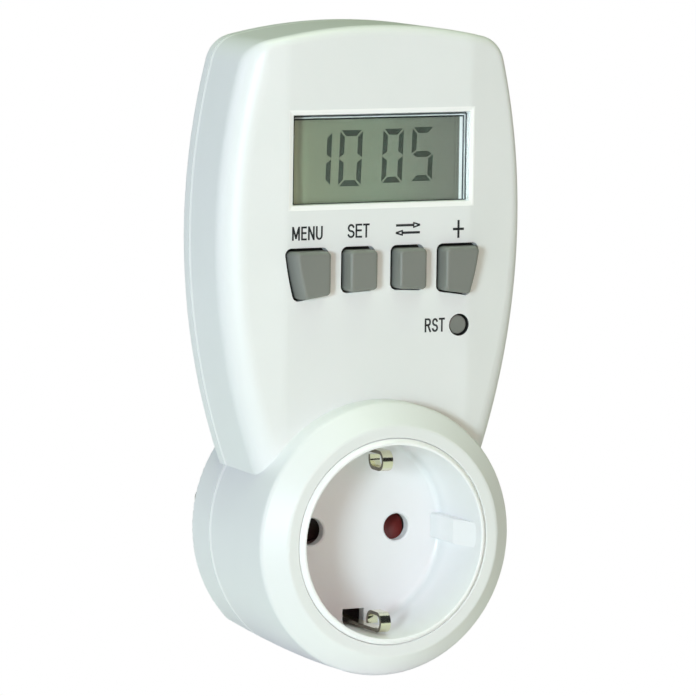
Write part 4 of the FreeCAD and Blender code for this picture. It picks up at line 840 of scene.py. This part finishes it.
dress(metal("soft_iron", (0.42, 0.42, 0.43), (0.34, 0.34, 0.35), dull=0.35), "relay_yoke", "relay_armature")


# Socket: a glossy white insert with the pin holes, the dark red shutter that turns behind them on
# its post, and the grey carrier of the contacts, screwed on from behind.
def blended(material, along, start, end, colour):
    """Blend a base colour over to another one between two places along a direction."""
    return masked(material, run_between(material.node_tree, along, start, end), colour)


white_insert = plastic("white_insert", (0.825, 0.84, 0.85), (0.805, 0.825, 0.84), dull=0.32,
                       depth=0.000004, coat=0.1)
# Painted light: the insert turns brighter from 4 mm in front of its floor outwards, over the recess wall.
dress(blended(white_insert, through_timer, -0.034, -0.038, (0.935, 0.935, 0.95)), "socket_insert")
dark_red = plastic("dark_red_shutter", (0.2, 0.03, 0.026), (0.16, 0.022, 0.02), dull=0.35)
# Painted shade: the shutter turns nearly black towards its left wing, in the shadow of the recess wall.
dress(blended(dark_red, across_timer, 0.0, -0.005, (0.035, 0.03, 0.026)), "shutter")
dress(plastic("grey_carrier", (0.5, 0.5, 0.48), (0.46, 0.46, 0.44), dull=0.5), "contact_carrier")


# Parts on the boards: chip, relay, capacitors, varistor, fuse, resistors and diodes, each in its
# usual moulded, dipped or sleeved finish, without any print.
dress(plastic("black_resin", (0.022, 0.022, 0.024), (0.032, 0.032, 0.034), dull=0.5),
      "controller_chip", "relay_base")
dress(plastic("blue_cover", (0.04, 0.12, 0.42), (0.035, 0.1, 0.37), dull=0.25), "relay_cover")
dress(plastic("white_bobbin", (0.72, 0.72, 0.68), (0.67, 0.67, 0.63), dull=0.45), "relay_bobbin")
wire_pitch = 0.00016
dress(banded("copper_turns", (0.62, 0.26, 0.1), (0.3, 0.11, 0.04), through_timer, wire_pitch, 0.3,
             depth=0.00006), "relay_winding")
dress(plastic("yellow_box", (0.7, 0.5, 0.08), (0.64, 0.45, 0.07), dull=0.3), "x2_capacitor")
dress(plastic("blue_dip", (0.06, 0.18, 0.5), (0.05, 0.15, 0.44), dull=0.2, coat=0.4), "varistor")


def deeper(colour):
    """The same colour, a little darker."""
    return [0.85 * part for part in colour]


def ringed(name, body, rings, dull, plated=False):
    """Plastic or glass body along X with rings, each a centre, a half width and a colour."""
    material = plastic(name, body, deeper(body), dull=dull, depth=0.000003)
    tree = material.node_tree
    cover = 0.0
    for centre, half, colour in rings:
        mask = band_at(tree, across_timer, centre, half)
        masked(material, mask, colour)
        if plated:
            cover = reckon(tree, "MAXIMUM", cover, mask)
    if plated:
        feed(tree, tree.nodes["Principled BSDF"].inputs["Metallic"], cover)
    return material


def ends_of(name, width, inset=0.0):
    """Middles of two rings of a width, at the left and the right end of a node."""
    low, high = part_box(name)
    return low[0] + inset + width / 2, high[0] - inset - width / 2


plate_colour = (0.68, 0.68, 0.66)
fuse_cap = 0.002
fuse_rings = [(centre, fuse_cap / 2, plate_colour) for centre in ends_of("fuse", fuse_cap)]
dress(ringed("fuse_glass", (0.62, 0.68, 0.66), fuse_rings, 0.08, plated=True), "fuse")
can_lid = 0.0008
can_end = [(ends_of("electrolytic_capacitor", can_lid)[1], can_lid / 2, plate_colour)]
dress(ringed("black_sleeve_can", (0.03, 0.03, 0.035), can_end, 0.3, plated=True), "electrolytic_capacitor")
resistor_length = 0.0063
resistor_half_ring = 0.00028
resistor_code = ((-0.0018, (0.5, 0.1, 0.03)), (-0.0006, (0.02, 0.02, 0.02)), (0.0006, (0.6, 0.3, 0.02)),
                 (0.002, (0.5, 0.36, 0.1)))
resistor_rings = [(middle + step, resistor_half_ring, colour)
                  for middle in ends_of("resistors", resistor_length) for step, colour in resistor_code]
dress(ringed("ringed_resistor", (0.52, 0.42, 0.26), resistor_rings, 0.35), "resistors")
cathode_width = 0.0006
cathode_ring = [(ends_of("diodes", cathode_width, cathode_width)[1], cathode_width / 2, (0.6, 0.6, 0.6))]
dress(ringed("banded_diode", (0.025, 0.025, 0.027), cathode_ring, 0.35), "diodes")


# Cables: a flat grey ribbon between the boards and three insulated wires, brown and black for
# the live side and blue for neutral, in smooth soft sleeves.
ribbon_pitch = 0.00127
dress(banded("ribbon_sleeve", (0.46, 0.46, 0.45), (0.2, 0.2, 0.2), across_timer, ribbon_pitch, 0.45,
             depth=0.0002), "ribbon_cable")
for wire, colour in (("live_wire", (0.16, 0.06, 0.025)), ("load_wire", (0.03, 0.03, 0.03)),
                     ("neutral_wire", (0.04, 0.16, 0.48))):
    dress(plastic(wire + "_sleeve", colour, deeper(colour), dull=0.35), wire)
